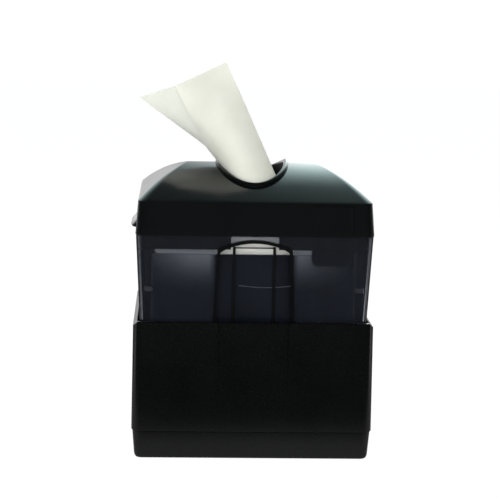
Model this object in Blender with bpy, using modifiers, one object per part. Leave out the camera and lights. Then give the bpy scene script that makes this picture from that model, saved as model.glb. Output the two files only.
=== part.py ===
"""Countertop pop-up napkin dispenser, modelled as its separate moulded and metal pieces.

The frame is metres with +Z up, the front facing -Y and the origin on the table under the middle.
Sizes below are millimetres, and each mesh is scaled to metres as it is made.
"""

from math import atan, cos, pi, radians, sin

import bmesh
import bpy
from mathutils import Matrix, Vector

MM = 0.001
GAP = 0.3                       # between pieces that touch or fit in each other

# Overall plan: every wall ring is a rounded rectangle whose half depth is its half width less this.
HALF_DEPTH_LESS = 19.0
WALL = 2.4                      # lid wall

# Base
TRAY_BOTTOM = 1.0               # the rubber feet stand this proud of the tray
SEAM = 24.4                     # top of the tray band
HOUSING_TOP = 113.6
HOUSING_HALF = 96.5             # at the seam; the housing narrows a little upwards
HOUSING_TOP_HALF = 95.6
HOUSING_WALL = 3.2
LEDGE_TOP = 29.6                # the ledge inside the housing that the window body stands on
LEDGE_HALF = 84.4
BOSS_X, BOSS_Y = 86.3, 67.3     # base screws
FOOT_X, FOOT_Y = 70.0, 52.0
FOOT_RADIUS, FOOT_TALL = 7.0, 1.9
RECESS_HALF = 28.2              # shallow recess in the housing's front

# Smoky window body: it narrows downwards
BODY_BOTTOM = LEDGE_TOP + GAP
BODY_TOP = 182.1
BODY_TOP_HALF = 93.8
BODY_TAPER = 0.048              # mm of half width per mm of height
BODY_WALL = 2.2

# Arched opening in the front of the window body
ARCH_FOOT_Z, ARCH_SHOULDER_Z, ARCH_TOP_Z = 96.0, 171.3, 179.2
ARCH_FOOT_HALF, ARCH_SHOULDER_HALF = 33.3, 29.8
ARCH_RIM = 2.4                  # width of the frame that lines the opening
ARCH_DEPTH = 3.2

# Napkin well, stack and lift
WELL_HALF_X, WELL_HALF_Y = 82.0, 63.4
WELL_WALL = 2.0
WELL_FLOOR, WELL_TOP = 8.6, 166.0
FLANGE_LOW, FLANGE_HIGH = 100.0, 178.0      # the well's back wall reaches out to the window body
STACK_HALF_X, STACK_HALF_Y = 79.0, 60.0
PLATFORM_TOP = 64.5
STACK_TOP = 181.6
SPRING_X, SPRING_RADIUS, SPRING_WIRE, SPRING_TURNS = 40.0, 11.0, 0.8, 6

# Lid: a flared skirt under a roof whose front, back and sides are shallow vaults meeting at hips
SKIRT_BOTTOM, SKIRT_BOTTOM_HALF = 182.4, 94.25
CREASE, CREASE_HALF = 209.1, 92.35
RIDGE, RIDGE_HALF = 233.5, 52.0
ROOF_BULGE = 0.6                # 0 would be flat roof panels
LID_CORNER = 7.0
THROAT_X, THROAT_Y = 28.2, 52.7 # half width and half length of the oval hole
PLATE_BOTTOM, PLATE_TOP = 182.3, 184.4
LIP_HALF, LIP_BOTTOM, LIP_WALL = 90.3, 171.2, 2.0
LID_SCREW_X, LID_SCREW_Y = 82.5, 62.5
TAB_REACH, TAB_TOP, TAB_HALF = 99.3, 191.5, 33.0    # finger tabs at the foot of the skirt's sides

# Latch, right of the front's middle
LATCH_X, LATCH_HALF, LATCH_Z, LATCH_HALF_Z = 61.5, 15.6, 196.4, 10.4
HOOK_HALF, HOOK_BOTTOM, HOOK_TOP = 16.2, 158.4, 199.0
HOOK_FRONT, HOOK_THICK = -68.9, 2.4
PRESS_TRAVEL = 2.5
SPRING_SEAT_Y = -57.4           # rib on the lid's plate that the latch spring pushes against

# Hinge along the back
HINGE_Y, HINGE_Z, HINGE_X = 78.35, 182.3, 55.0
BARREL, PIN_RADIUS = 2.7, 1.2
KNUCKLE_HALF, EAR_WIDTH = 6.2, 4.6
LEAF_FRONT, LEAF_THICK = 75.1, 1.7
HINGE_SCREW_SPREAD, HINGE_SCREW_Z = 6.0, 173.6

# Screws: shank and head radius, head height and whole length
BASE_SCREW = (1.4, 2.9, 2.0, 16.0)
LID_SCREW = (1.4, 2.9, 2.0, 17.0)
HINGE_SCREW = (1.2, 2.4, 1.4, 6.4)

ROUND = 12                      # sides of a small round piece

COLOURS = {                     # base colour, roughness, metallic, alpha
    "black_plastic": ((0.012, 0.012, 0.013), 0.35, 0.0, 1.0),
    "black_base_plastic": ((0.018, 0.018, 0.017), 0.45, 0.0, 1.0),
    "smoke_plastic": ((0.05, 0.055, 0.075), 0.15, 0.0, 0.45),
    "paper": ((0.80, 0.82, 0.74), 0.9, 0.0, 1.0),
    "rubber": ((0.03, 0.03, 0.03), 0.8, 0.0, 1.0),
    "steel": ((0.55, 0.55, 0.56), 0.35, 1.0, 1.0),
}


# ---------------------------------------------------------------- scene and modelling helpers

def clear_scene():
    for item in list(bpy.data.objects):
        bpy.data.objects.remove(item)


def new_collection(name):
    collection = bpy.data.collections.new(name)
    bpy.context.scene.collection.children.link(collection)
    return collection


def material(name):
    if name in bpy.data.materials:
        return bpy.data.materials[name]
    colour, roughness, metallic, alpha = COLOURS[name]
    made = bpy.data.materials.new(name)
    made.use_nodes = True
    shader = made.node_tree.nodes["Principled BSDF"]
    shader.inputs["Base Color"].default_value = (*colour, 1.0)
    shader.inputs["Roughness"].default_value = roughness
    shader.inputs["Metallic"].default_value = metallic
    shader.inputs["Alpha"].default_value = alpha
    made.diffuse_color = (*colour, alpha)
    return made


def finish(mesh, name, look, angle=35):
    """A part from a mesh in metres, shaded smooth except at real edges."""
    mesh.shade_smooth()
    mesh.set_sharp_from_angle(angle=radians(angle))
    part = bpy.data.objects.new(name, mesh)
    part.data.materials.append(material(look))
    PARTS.objects.link(part)
    return part


def mesh_of(bm, name, sizes_in_mm=True):
    if sizes_in_mm:
        bmesh.ops.scale(bm, vec=(MM, MM, MM), verts=bm.verts)
    bmesh.ops.recalc_face_normals(bm, faces=bm.faces)
    mesh = bpy.data.meshes.new(name)
    bm.to_mesh(mesh)
    bm.free()
    return mesh


def tool(mesh, location=(0, 0, 0), rotation=(0, 0, 0)):
    """A hidden body that other pieces are cut with or joined to."""
    body = bpy.data.objects.new(mesh.name, mesh)
    body.location = Vector(location) * MM
    body.rotation_euler = rotation
    body.hide_render = True
    body.display_type = "WIRE"
    CUTTERS.objects.link(body)
    return body


def combine(part, body, operation):
    step = part.modifiers.new(f"{operation.lower()} {body.name}", "BOOLEAN")
    step.operation = operation
    step.object = body


def cut(part, body):
    combine(part, body, "DIFFERENCE")


def join(part, body):
    combine(part, body, "UNION")


def box_mesh(name, size, bevel=0.0):
    bm = bmesh.new()
    bmesh.ops.create_cube(bm, size=1.0)
    bmesh.ops.scale(bm, vec=size, verts=bm.verts)
    if bevel:
        bmesh.ops.bevel(bm, geom=bm.edges[:], offset=bevel, segments=2, affect="EDGES", profile=0.5)
    return mesh_of(bm, name)


def span_box(name, x, y, z, bevel=0.0):
    """A box mesh from three (low, high) pairs, already in place."""
    low, high = Vector((x[0], y[0], z[0])), Vector((x[1], y[1], z[1]))
    mesh = box_mesh(name, high - low, bevel)
    mesh.transform(Matrix.Translation((low + high) / 2 * MM))
    return mesh


def cylinder_mesh(name, radius, low, high, x=0.0, y=0.0, sides=ROUND):
    """An upright cylinder between two heights."""
    bm = bmesh.new()
    bmesh.ops.create_cone(
        bm, cap_ends=True, segments=sides, radius1=radius, radius2=radius, depth=high - low
    )
    bmesh.ops.translate(bm, vec=(x, y, (low + high) / 2), verts=bm.verts)
    return mesh_of(bm, name)


def turned(name, profile, look):
    """A turned piece: (radius, z) points from the top down the outside to the bottom."""
    bm = bmesh.new()
    points = [bm.verts.new((radius * MM, 0, z * MM)) for radius, z in profile]
    for upper, lower in zip(points, points[1:]):
        bm.edges.new((upper, lower))
    mesh = bpy.data.meshes.new(name)
    bm.to_mesh(mesh)
    bm.free()
    part = finish(mesh, name, look)
    spin = part.modifiers.new("turn", "SCREW")
    spin.steps = ROUND
    spin.render_steps = ROUND
    spin.use_merge_vertices = True
    spin.merge_threshold = 0.00001
    return part


def rounded_rectangle(half_x, half_y, radius, steps=4):
    """Points anticlockwise round a rounded rectangle."""
    points = []
    for quarter, (side_x, side_y) in enumerate(((1, 1), (-1, 1), (-1, -1), (1, -1))):
        for step in range(steps + 1):
            angle = (quarter + step / steps) * pi / 2
            points.append((
                side_x * (half_x - radius) + radius * cos(angle),
                side_y * (half_y - radius) + radius * sin(angle),
            ))
    return points


def level_ring(half_x, z, radius, half_y=None):
    depth = half_x - HALF_DEPTH_LESS if half_y is None else half_y
    return [Vector((x, y, z)) for x, y in rounded_rectangle(half_x, depth, radius)]


def loft(name, rings, look=None, closed=False):
    """A solid through rings of equal length, capped at both ends or closed end to end."""
    bm = bmesh.new()
    loops = [[bm.verts.new(point) for point in ring] for ring in rings]
    pairs = list(zip(loops, loops[1:]))
    if closed:
        pairs.append((loops[-1], loops[0]))
    for lower, upper in pairs:
        for here in range(len(lower)):
            after = (here + 1) % len(lower)
            bm.faces.new((lower[here], lower[after], upper[after], upper[here]))
    if not closed:
        bm.faces.new(reversed(loops[0]))
        bm.faces.new(loops[-1])
    mesh = mesh_of(bm, name)
    return finish(mesh, name, look) if look else mesh


def wall_shell(name, profile, radius, look, closed=False):
    """A shell whose section of (half width, height) points runs round the rounded rectangle."""
    widest = max(half for half, z in profile)
    rings = [level_ring(half, z, max(1.0, radius - (widest - half))) for half, z in profile]
    return loft(name, rings, look, closed)


def extruded_outline(name, points, thickness, hole=None):
    """A flat outline in the XY plane, extruded along Z by its thickness, as a mesh in metres."""
    curve = bpy.data.curves.new(name, "CURVE")
    curve.dimensions = "2D"
    curve.fill_mode = "BOTH"
    curve.extrude = thickness / 2 * MM
    for outline in (points, hole):
        if outline is None:
            continue
        spline = curve.splines.new("POLY")
        spline.points.add(len(outline) - 1)
        for place, (x, y) in zip(spline.points, outline):
            place.co = (x * MM, y * MM, 0, 1)
        spline.use_cyclic_u = True
    holder = bpy.data.objects.new(name + "_curve", curve)
    CUTTERS.objects.link(holder)
    mesh = bpy.data.meshes.new_from_object(holder.evaluated_get(bpy.context.evaluated_depsgraph_get()))
    bpy.data.objects.remove(holder)
    bm = bmesh.new()
    bm.from_mesh(mesh)
    bmesh.ops.remove_doubles(bm, verts=bm.verts, dist=0.00001)
    mesh.materials.clear()
    flat = mesh_of(bm, name, sizes_in_mm=False)
    bpy.data.meshes.remove(mesh)
    return flat


def wire(name, points, radius, look):
    """A round wire through points in millimetres, with filled ends."""
    curve = bpy.data.curves.new(name, "CURVE")
    curve.dimensions = "3D"
    curve.bevel_depth = radius * MM
    curve.bevel_resolution = 2
    curve.use_fill_caps = True
    spline = curve.splines.new("POLY")
    spline.points.add(len(points) - 1)
    for place, point in zip(spline.points, points):
        place.co = (*(Vector(point) * MM), 1)
    curve.materials.append(material(look))
    piece = bpy.data.objects.new(name, curve)
    PARTS.objects.link(piece)
    return piece


def coil(name, start, along, across, length, radius, wire_radius, turns, look, steps=8):
    """A compression spring: turns about the direction `along`, from `start`."""
    along, across = Vector(along), Vector(across)
    third = along.cross(across)
    count = turns * steps
    points = []
    for step in range(count + 1):
        angle = 2 * pi * step / steps
        rise = wire_radius + (length - 2 * wire_radius) * step / count
        turn = across * cos(angle) + third * sin(angle)
        points.append(Vector(start) + along * rise + turn * radius)
    return wire(name, points, wire_radius, look)


# ---------------------------------------------------------------- shapes shared by several pieces

def body_half(z):
    """Half width of the window body's outer face at a height."""
    return BODY_TOP_HALF - (BODY_TOP - z) * BODY_TAPER


def skirt_half(z):
    """Half width of the lid skirt's outer face at a height."""
    share = (z - SKIRT_BOTTOM) / (CREASE - SKIRT_BOTTOM)
    return SKIRT_BOTTOM_HALF + (CREASE_HALF - SKIRT_BOTTOM_HALF) * share


def roof_rise(share):
    """Height of the roof above the crease, with share 0 at the crease and 1 at the ridge."""
    return (RIDGE - CREASE) * (share + ROOF_BULGE * share * (1 - share))


def roof_height(x, y):
    crease_half_y = CREASE_HALF - HALF_DEPTH_LESS
    from_front = 1 - abs(y) / crease_half_y
    from_side = (CREASE_HALF - abs(x)) / (CREASE_HALF - RIDGE_HALF)
    return CREASE + roof_rise(min(from_front, from_side, 1.0))


def roof_ring(share, inset=0.0, drop=0.0):
    half_x = RIDGE_HALF + (CREASE_HALF - RIDGE_HALF) * (1 - share) - inset
    half_y = (CREASE_HALF - HALF_DEPTH_LESS) * (1 - share) - inset
    radius = min(0.3 + LID_CORNER * (1 - share), half_y * 0.8)
    return level_ring(half_x, CREASE + roof_rise(share) - drop, radius, half_y)


def arch_outline(outset=0.0, foot=ARCH_FOOT_Z, steps=12):
    """The arch as (x, z) points: leaning sides, small shoulders and a shallow crown."""
    foot_half = ARCH_FOOT_HALF + outset
    half = ARCH_SHOULDER_HALF + outset
    rise = ARCH_TOP_Z - ARCH_SHOULDER_Z
    crown = []
    for step in range(1, steps):
        x = half - 2 * half * step / steps
        crown.append((x, ARCH_SHOULDER_Z + outset + rise * (1 - (x / half) ** 2) ** 0.8))
    right = [(foot_half, foot), (half, ARCH_SHOULDER_Z - 1.0 + outset)]
    left = [(-half, ARCH_SHOULDER_Z - 1.0 + outset), (-foot_half, foot)]
    return right + crown + left


def face_tilt(slope):
    """Rotation that stands a flat XY outline up against the front wall leaning by `slope`."""
    return (pi / 2 + atan(slope), 0, 0)


def on_front_body(outline):
    """Heights measured up the leaning front wall, from (x, z) points."""
    stretch = (1 + BODY_TAPER ** 2) ** 0.5
    return [(x, (z - BODY_TOP) * stretch) for x, z in outline]


FRONT_BODY_TOP_Y = -(BODY_TOP_HALF - HALF_DEPTH_LESS)


# ---------------------------------------------------------------- base

def make_base_tray():
    """Shallow tray with the band that shows under the housing, and four recessed screw seats."""
    tray = wall_shell(
        "base_tray",
        [
            (91.0, TRAY_BOTTOM), (92.9, TRAY_BOTTOM + 1.0), (94.1, TRAY_BOTTOM + 3.8),
            (95.7, SEAM), (92.7, SEAM), (91.3, TRAY_BOTTOM + 3.0),
        ],
        8.0, "black_base_plastic",
    )
    for number, (x, y) in enumerate(corner_places(BOSS_X, BOSS_Y)):
        join(tray, tool(cylinder_mesh(f"tray_boss_{number}", 4.4, 2.0, 7.5, x, y)))
        cut(tray, tool(cylinder_mesh(f"screw_seat_{number}", 3.3, 0.0, 4.6, x, y)))
        cut(tray, tool(cylinder_mesh(f"screw_way_{number}", 1.8, 4.0, 8.0, x, y)))
    for number, (x, y) in enumerate(corner_places(FOOT_X, FOOT_Y)):
        seat = cylinder_mesh(f"foot_seat_{number}", FOOT_RADIUS + 0.4, 0.0, FOOT_TALL + GAP, x, y)
        cut(tray, tool(seat))
    return tray


def corner_places(x, y):
    return [(x * side_x, y * side_y) for side_x in (-1, 1) for side_y in (-1, 1)]


def make_base_housing():
    """Tall sleeve round the foot of the window body, standing on the tray."""
    inner_top = HOUSING_TOP_HALF - HOUSING_WALL
    housing = wall_shell(
        "base_housing",
        [
            (HOUSING_HALF, SEAM + GAP), (HOUSING_TOP_HALF, HOUSING_TOP - 0.7),
            (HOUSING_TOP_HALF - 0.7, HOUSING_TOP), (inner_top + 0.5, HOUSING_TOP),
            (inner_top, HOUSING_TOP - 0.5), (HOUSING_HALF - HOUSING_WALL, LEDGE_TOP),
            (LEDGE_HALF, LEDGE_TOP), (LEDGE_HALF, SEAM + GAP),
        ],
        8.0, "black_base_plastic", closed=True,
    )
    for number, (x, y) in enumerate(corner_places(BOSS_X, BOSS_Y)):
        join(housing, tool(cylinder_mesh(f"housing_boss_{number}", 4.0, 7.8, LEDGE_TOP - 1.0, x, y)))
        cut(housing, tool(cylinder_mesh(f"housing_pilot_{number}", 1.75, 7.0, 20.0, x, y)))
    # The side walls' top edges are chamfered, so the front's outer corners drop away.
    chamfer = 4.6
    for side in (-1, 1):
        edge = box_mesh("side_chamfer", (chamfer * 2 ** 0.5, 170.0, chamfer * 2 ** 0.5))
        corner = (side * (HOUSING_TOP_HALF + 0.4), 0, HOUSING_TOP + 0.4)
        cut(housing, tool(edge, corner, (0, pi / 4, 0)))
    # The front recess fades out downwards.
    recess_depth, recess_height = 1.6, 40.0
    slope = (HOUSING_HALF - HOUSING_TOP_HALF) / (HOUSING_TOP - SEAM)
    lean = atan(recess_depth / recess_height) + slope
    wedge = box_mesh("front_recess", (2 * RECESS_HALF, 10.0, 2 * recess_height))
    face_y = -(HOUSING_HALF - HALF_DEPTH_LESS) + (HOUSING_TOP - SEAM - recess_height) * slope
    cut(housing, tool(wedge, (0, face_y - 5.0, HOUSING_TOP - recess_height), (-lean, 0, 0)))
    return housing


def make_ballast_plate():
    return finish(
        span_box("ballast_plate", (-72, 72), (-62, 62), (TRAY_BOTTOM + 3.3, 8.3), 0.6),
        "ballast_plate", "steel",
    )


def make_feet():
    edge = 0.5
    profile = [
        (0, FOOT_TALL), (FOOT_RADIUS, FOOT_TALL), (FOOT_RADIUS, edge), (FOOT_RADIUS - edge, 0), (0, 0),
    ]
    for number, (x, y) in enumerate(corner_places(FOOT_X, FOOT_Y), 1):
        foot = turned(f"foot_pad_{number}", profile, "rubber")
        foot.location = (x * MM, y * MM, 0)


def make_screw(name, size, location, rotation=(0, 0, 0)):
    """A pan-head screw with its head's outer face at the location, and its point along local +Z."""
    shank, head, head_height, length = size
    point, rim = 0.9, 0.5
    screw = turned(
        name,
        [(0, length), (shank, length - point), (shank, head_height), (head, head_height),
         (head - rim, 0), (0, 0)],
        "steel",
    )
    screw.location = Vector(location) * MM
    screw.rotation_euler = rotation


def make_upright_screws(prefix, size, places, head_bottom):
    for number, (x, y) in enumerate(places, 1):
        make_screw(f"{prefix}_{number}", size, (x, y, head_bottom))


# ---------------------------------------------------------------- window body and its inside

def make_window_body():
    """Smoky walls that narrow downwards, open at top and bottom, with the arch cut in front."""
    body = wall_shell(
        "window_body",
        [
            (body_half(BODY_BOTTOM), BODY_BOTTOM), (BODY_TOP_HALF, BODY_TOP),
            (BODY_TOP_HALF - BODY_WALL, BODY_TOP), (body_half(BODY_BOTTOM) - BODY_WALL, BODY_BOTTOM),
        ],
        7.0, "smoke_plastic", closed=True,
    )
    opening = extruded_outline("arch_opening", on_front_body(arch_outline(GAP, ARCH_FOOT_Z - GAP)), 24.0)
    cut(body, tool(opening, (0, FRONT_BODY_TOP_Y, BODY_TOP), face_tilt(BODY_TAPER)))
    slot_x, slot_half = 84.8, 3.6
    for side in (-1, 1):
        across = (side * slot_x - slot_half, side * slot_x + slot_half)
        cut(body, tool(span_box("clip_slot", across, (-76, -69), (136.9, 141.3))))
    for number, (x, z) in enumerate(hinge_screw_places()):
        hole = cylinder_mesh(f"hinge_screw_way_{number}", HINGE_SCREW[0] + 0.4, -6.0, 6.0)
        cut(body, tool(hole, (x, LEAF_FRONT - BODY_WALL, z), (pi / 2, 0, 0)))
    return body


def make_arch_frame():
    """Trim that lines the arched opening."""
    outer = arch_outline(0.0, ARCH_FOOT_Z)
    inner = arch_outline(-ARCH_RIM, ARCH_FOOT_Z)
    outline = outer + inner[::-1]
    mesh = extruded_outline("arch_frame", on_front_body(outline), ARCH_DEPTH)
    frame = finish(mesh, "arch_frame", "black_plastic")
    proud = 0.6
    frame.rotation_euler = face_tilt(BODY_TAPER)
    frame.location = (0, (FRONT_BODY_TOP_Y - proud + ARCH_DEPTH / 2) * MM, BODY_TOP * MM)
    return frame


def make_stack_guard():
    """Two upright ribs and a thin bar that keep the top napkins back from the arch."""
    back = -(WELL_HALF_Y + GAP)
    post_half, post_x, post_top = 1.1, 16.0, 172.6
    posts = [
        span_box(f"guard_post_{side}", (side * post_x - post_half, side * post_x + post_half),
                 (back - 2.0, back), (ARCH_FOOT_Z, post_top), 0.3)
        for side in (-1, 1)
    ]
    guard = finish(posts[0], "stack_guard", "black_plastic")
    join(guard, tool(span_box("guard_bar", (-post_x, post_x), (back - 1.5, back - 0.5), (171.2, 172.2))))
    join(guard, tool(span_box("guard_foot", (-post_x, post_x), (back - 1.5, back - 0.3), (98.0, 104.0))))
    join(guard, tool(posts[1]))
    return guard


def back_flange():
    """Upright plate, wider than the well, that its back wall runs out into."""
    rings = []
    for z in (FLANGE_LOW, LIP_BOTTOM - 1.0, LIP_BOTTOM, FLANGE_HIGH):
        room = min(body_half(z) - BODY_WALL, LIP_HALF - LIP_WALL if z >= LIP_BOTTOM else BODY_TOP_HALF)
        half = room - 2 * GAP
        low, high = WELL_HALF_Y - WELL_WALL + 0.1, WELL_HALF_Y - 0.1
        rings.append([
            Vector((x, y, z)) for x, y in ((-half, low), (half, low), (half, high), (-half, high))
        ])
    return loft("back_flange", rings)


def make_napkin_well():
    """Inner tub that the stack, the platform and the springs run in."""
    rings = []
    for half_x, z in (
        (WELL_HALF_X - 1.5, WELL_FLOOR), (WELL_HALF_X, WELL_FLOOR + 1.5), (WELL_HALF_X, WELL_TOP),
        (WELL_HALF_X - WELL_WALL, WELL_TOP), (WELL_HALF_X - WELL_WALL, WELL_FLOOR + 2.2),
    ):
        half_y = half_x - WELL_HALF_X + WELL_HALF_Y
        rings.append(level_ring(half_x, z, 5.0 - (WELL_HALF_X - half_x), half_y))
    well = loft("napkin_well", rings, "smoke_plastic")
    join(well, tool(back_flange()))
    return well


def make_lift_platform():
    """Plate with a turned-down rim that the springs push up under the stack."""
    half_x, half_y, rim = 79.3, 60.7, 2.0
    rings = [
        level_ring(half_x - rim, PLATFORM_TOP - 2.5, 2.0, half_y - rim),
        level_ring(half_x - rim, PLATFORM_TOP - 9.0, 2.0, half_y - rim),
        level_ring(half_x, PLATFORM_TOP - 9.0, 4.0, half_y),
        level_ring(half_x, PLATFORM_TOP - 0.6, 4.0, half_y),
        level_ring(half_x - 0.6, PLATFORM_TOP, 3.4, half_y - 0.6),
    ]
    return loft("lift_platform", rings, "black_plastic")


def make_lift_springs():
    low = WELL_FLOOR + 2.2 + GAP
    high = PLATFORM_TOP - 2.5 - GAP
    for name, side in (("left", -1), ("right", 1)):
        coil(f"lift_spring_{name}", (side * SPRING_X, 0, low), (0, 0, 1), (1, 0, 0),
             high - low, SPRING_RADIUS, SPRING_WIRE, SPRING_TURNS, "steel")


def make_napkin_stack():
    rings = [
        level_ring(STACK_HALF_X - 1, PLATFORM_TOP + GAP, 2.0, STACK_HALF_Y - 1),
        level_ring(STACK_HALF_X, PLATFORM_TOP + 2.0, 3.0, STACK_HALF_Y),
        level_ring(STACK_HALF_X, STACK_TOP - 2.0, 3.0, STACK_HALF_Y),
        level_ring(STACK_HALF_X - 1, STACK_TOP, 2.0, STACK_HALF_Y - 1),
    ]
    return loft("napkin_stack", rings, "paper")


def make_napkin_popup():
    """The napkin drawn up through the throat, leaning to the left."""
    left = [(-20, -10, 206), (-24, -8, 236), (-38, -6, 247), (-60, -4, 257), (-78, -1, 271), (-94, 2, 286)]
    right = [(14, -30, 206), (17, -28, 226), (11, -24, 242), (1, -17, 264), (-10, -9, 289), (-22, -2, 316)]
    half_thickness = 1.3
    back = Vector((0, half_thickness, 0))
    rings = []
    for start, end in zip(left, right):
        start, end = Vector(start), Vector(end)
        rings.append([start - back, end - back, end + back, start + back])
    return loft("napkin_popup", rings, "paper")


# ---------------------------------------------------------------- lid

def make_lid_shell():
    """Skirt and vaulted roof in one moulding, with hinge knuckles, screw bosses and finger tabs."""
    steps = 6
    edge = 0.9
    outer = [level_ring(SKIRT_BOTTOM_HALF, SKIRT_BOTTOM, LID_CORNER)]
    outer.append(level_ring(skirt_half(CREASE - edge), CREASE - edge, LID_CORNER))
    outer += [roof_ring(max(0.02, 0.985 * step / steps)) for step in range(steps + 1)]
    inner_top = 0.93
    inner = [roof_ring(inner_top * step / steps, WALL, WALL) for step in range(steps, -1, -1)]
    inner.append(level_ring(SKIRT_BOTTOM_HALF - WALL, SKIRT_BOTTOM, LID_CORNER - WALL))
    shell = loft("lid_shell", outer[::-1] + inner[::-1], "black_plastic")
    hole = loft("throat_hole", [oval_ring(0.0, 190.0), oval_ring(0.0, 250.0)])
    cut(shell, tool(hole))
    for number, (x, y) in enumerate(corner_places(LID_SCREW_X, LID_SCREW_Y)):
        join(shell, tool(cylinder_mesh(f"lid_boss_{number}", 3.0, PLATE_TOP + GAP, 212.5, x, y)))
        cut(shell, tool(cylinder_mesh(f"lid_pilot_{number}", 1.7, PLATE_TOP, 200.0, x, y)))
    window = box_mesh("latch_window", (2 * LATCH_HALF + 2 * GAP, 12.0, 2 * LATCH_HALF_Z + 2 * GAP))
    cut(shell, tool(window, *latch_placement(3.0)))
    for side in (-1, 1):
        join(shell, tool(finger_tab(side)))
        web = span_box("knuckle_web", (side * HINGE_X - KNUCKLE_HALF, side * HINGE_X + KNUCKLE_HALF),
                       (74.4, HINGE_Y + 0.5), (SKIRT_BOTTOM + 0.1, 187.0))
        join(shell, tool(web))
        barrel = cylinder_mesh("knuckle", BARREL, -KNUCKLE_HALF, KNUCKLE_HALF)
        join(shell, tool(barrel, (side * HINGE_X, HINGE_Y, HINGE_Z), (0, pi / 2, 0)))
    for side in (-1, 1):
        way = cylinder_mesh("knuckle_bore", PIN_RADIUS + GAP, -9.0, 9.0)
        cut(shell, tool(way, (side * HINGE_X, HINGE_Y, HINGE_Z), (0, pi / 2, 0)))
    return shell


def oval_ring(outset, height=None, above=0.0, steps=36):
    """The throat's oval, moved outwards, at one height or at a height above the roof."""
    points = []
    for step in range(steps):
        angle = 2 * pi * step / steps
        x = (THROAT_X + outset) * cos(angle)
        y = (THROAT_Y + outset) * sin(angle)
        z = roof_height(x, y) + above if height is None else height
        points.append(Vector((x, y, z)))
    return points


def finger_tab(side):
    """A flared lip at the foot of the skirt's side, to lift the lid by."""
    root = skirt_half(TAB_TOP) - 0.8
    foot = SKIRT_BOTTOM + 0.2
    blunt = 0.9
    steps = 4
    rings = []
    for share in (-1.0, -0.9, -0.6, 0.6, 0.9, 1.0):
        reach = (TAB_REACH - root) * max(0.12, (1 - abs(share) ** 6) ** 0.5)
        y = share * TAB_HALF
        ring = []
        for step in range(steps + 1):
            drop = step / steps
            z = TAB_TOP + (foot + blunt - TAB_TOP) * drop
            ring.append(Vector((side * (root + reach * drop ** 1.3), y, z)))
        ring.append(Vector((side * (root + reach - blunt * 0.7), y, foot)))
        ring.append(Vector((side * (SKIRT_BOTTOM_HALF - 1.6), y, foot)))
        rings.append(ring)
    return loft(f"finger_tab_{side}", rings)


def make_throat_collar():
    """Raised oval bead that lines the hole in the roof and turns down inside it."""
    section = [
        (1.8, GAP), (1.7, 1.7), (0.9, 2.7), (-0.3, 3.1), (-1.4, 2.6), (-2.1, 1.2),
        (-2.4, -2.0), (-2.6, -9.0), (-1.2, -9.0), (-0.6, -3.0), (-0.6, GAP),
    ]
    rings = [oval_ring(outset, above=above) for outset, above in section]
    return loft("throat_collar", rings, "black_plastic", closed=True)


def make_lid_inner_frame():
    """Plate under the roof that the stack is pressed against, with a lip inside the window body."""
    plate_half = SKIRT_BOTTOM_HALF - WALL - 0.7
    rings = [
        level_ring(plate_half, PLATE_TOP, 4.0), level_ring(plate_half, SKIRT_BOTTOM + GAP, 4.0),
        level_ring(LIP_HALF, SKIRT_BOTTOM + GAP, 4.0), level_ring(LIP_HALF, LIP_BOTTOM, 4.0),
        level_ring(LIP_HALF - LIP_WALL, LIP_BOTTOM, 2.0),
        level_ring(LIP_HALF - LIP_WALL, PLATE_BOTTOM, 2.0),
    ]
    frame = loft("lid_inner_frame", rings, "black_plastic")
    hole = loft("plate_slot", [oval_ring(4.6, 176.0, steps=24), oval_ring(4.6, 190.0, steps=24)])
    cut(frame, tool(hole))
    cut(frame, tool(span_box("front_notch", (-19, 19), (-74, -66), (165.0, 178.6))))
    for number, (x, y) in enumerate(corner_places(LID_SCREW_X, LID_SCREW_Y)):
        cut(frame, tool(cylinder_mesh(f"frame_hole_{number}", 1.9, 178.0, 188.0, x, y)))
    hook_way = span_box(
        "hook_way", (LATCH_X - HOOK_HALF - 0.8, LATCH_X + HOOK_HALF + 0.8),
        (HOOK_FRONT - 0.35, HOOK_FRONT + HOOK_THICK + PRESS_TRAVEL + 0.5), (178.0, 188.0),
    )
    cut(frame, tool(hook_way))
    seat = span_box("spring_seat", (LATCH_X - 7, LATCH_X + 7),
                    (SPRING_SEAT_Y, SPRING_SEAT_Y + WALL), (PLATE_TOP - 1, HOOK_TOP))
    join(frame, tool(seat))
    return frame


# ---------------------------------------------------------------- latch and hinge

def latch_placement(depth):
    """Place and rotation of something let into the leaning front skirt, `depth` behind its face."""
    slope = (SKIRT_BOTTOM_HALF - CREASE_HALF) / (CREASE - SKIRT_BOTTOM)
    y = -(skirt_half(LATCH_Z) - HALF_DEPTH_LESS) + depth
    return (LATCH_X, y, LATCH_Z), (-atan(slope), 0, 0)


def make_latch_button():
    """Push pad in the skirt with three plain grip ribs, and a stem behind it."""
    thickness = 2.4
    rib_pitch, rib_half = 10.8, 0.9
    button = finish(
        box_mesh("latch_button", (2 * LATCH_HALF, thickness, 2 * LATCH_HALF_Z), 0.25),
        "latch_button", "black_plastic",
    )
    for number in (-1, 0, 1):
        rib = span_box(f"grip_rib_{number}", (number * rib_pitch - rib_half, number * rib_pitch + rib_half),
                       (-thickness / 2 - 0.5, 0), (-9.4, 9.4), 0.35)
        rib_body = tool(rib)
        rib_body.parent = button
        join(button, rib_body)
    stem = tool(span_box("button_stem", (-6, 6), (0, 3.6), (-5, 3)))
    stem.parent = button
    join(button, stem)
    place, rotation = latch_placement(thickness / 2)
    button.location = Vector(place) * MM
    button.rotation_euler = rotation
    return button


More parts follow.
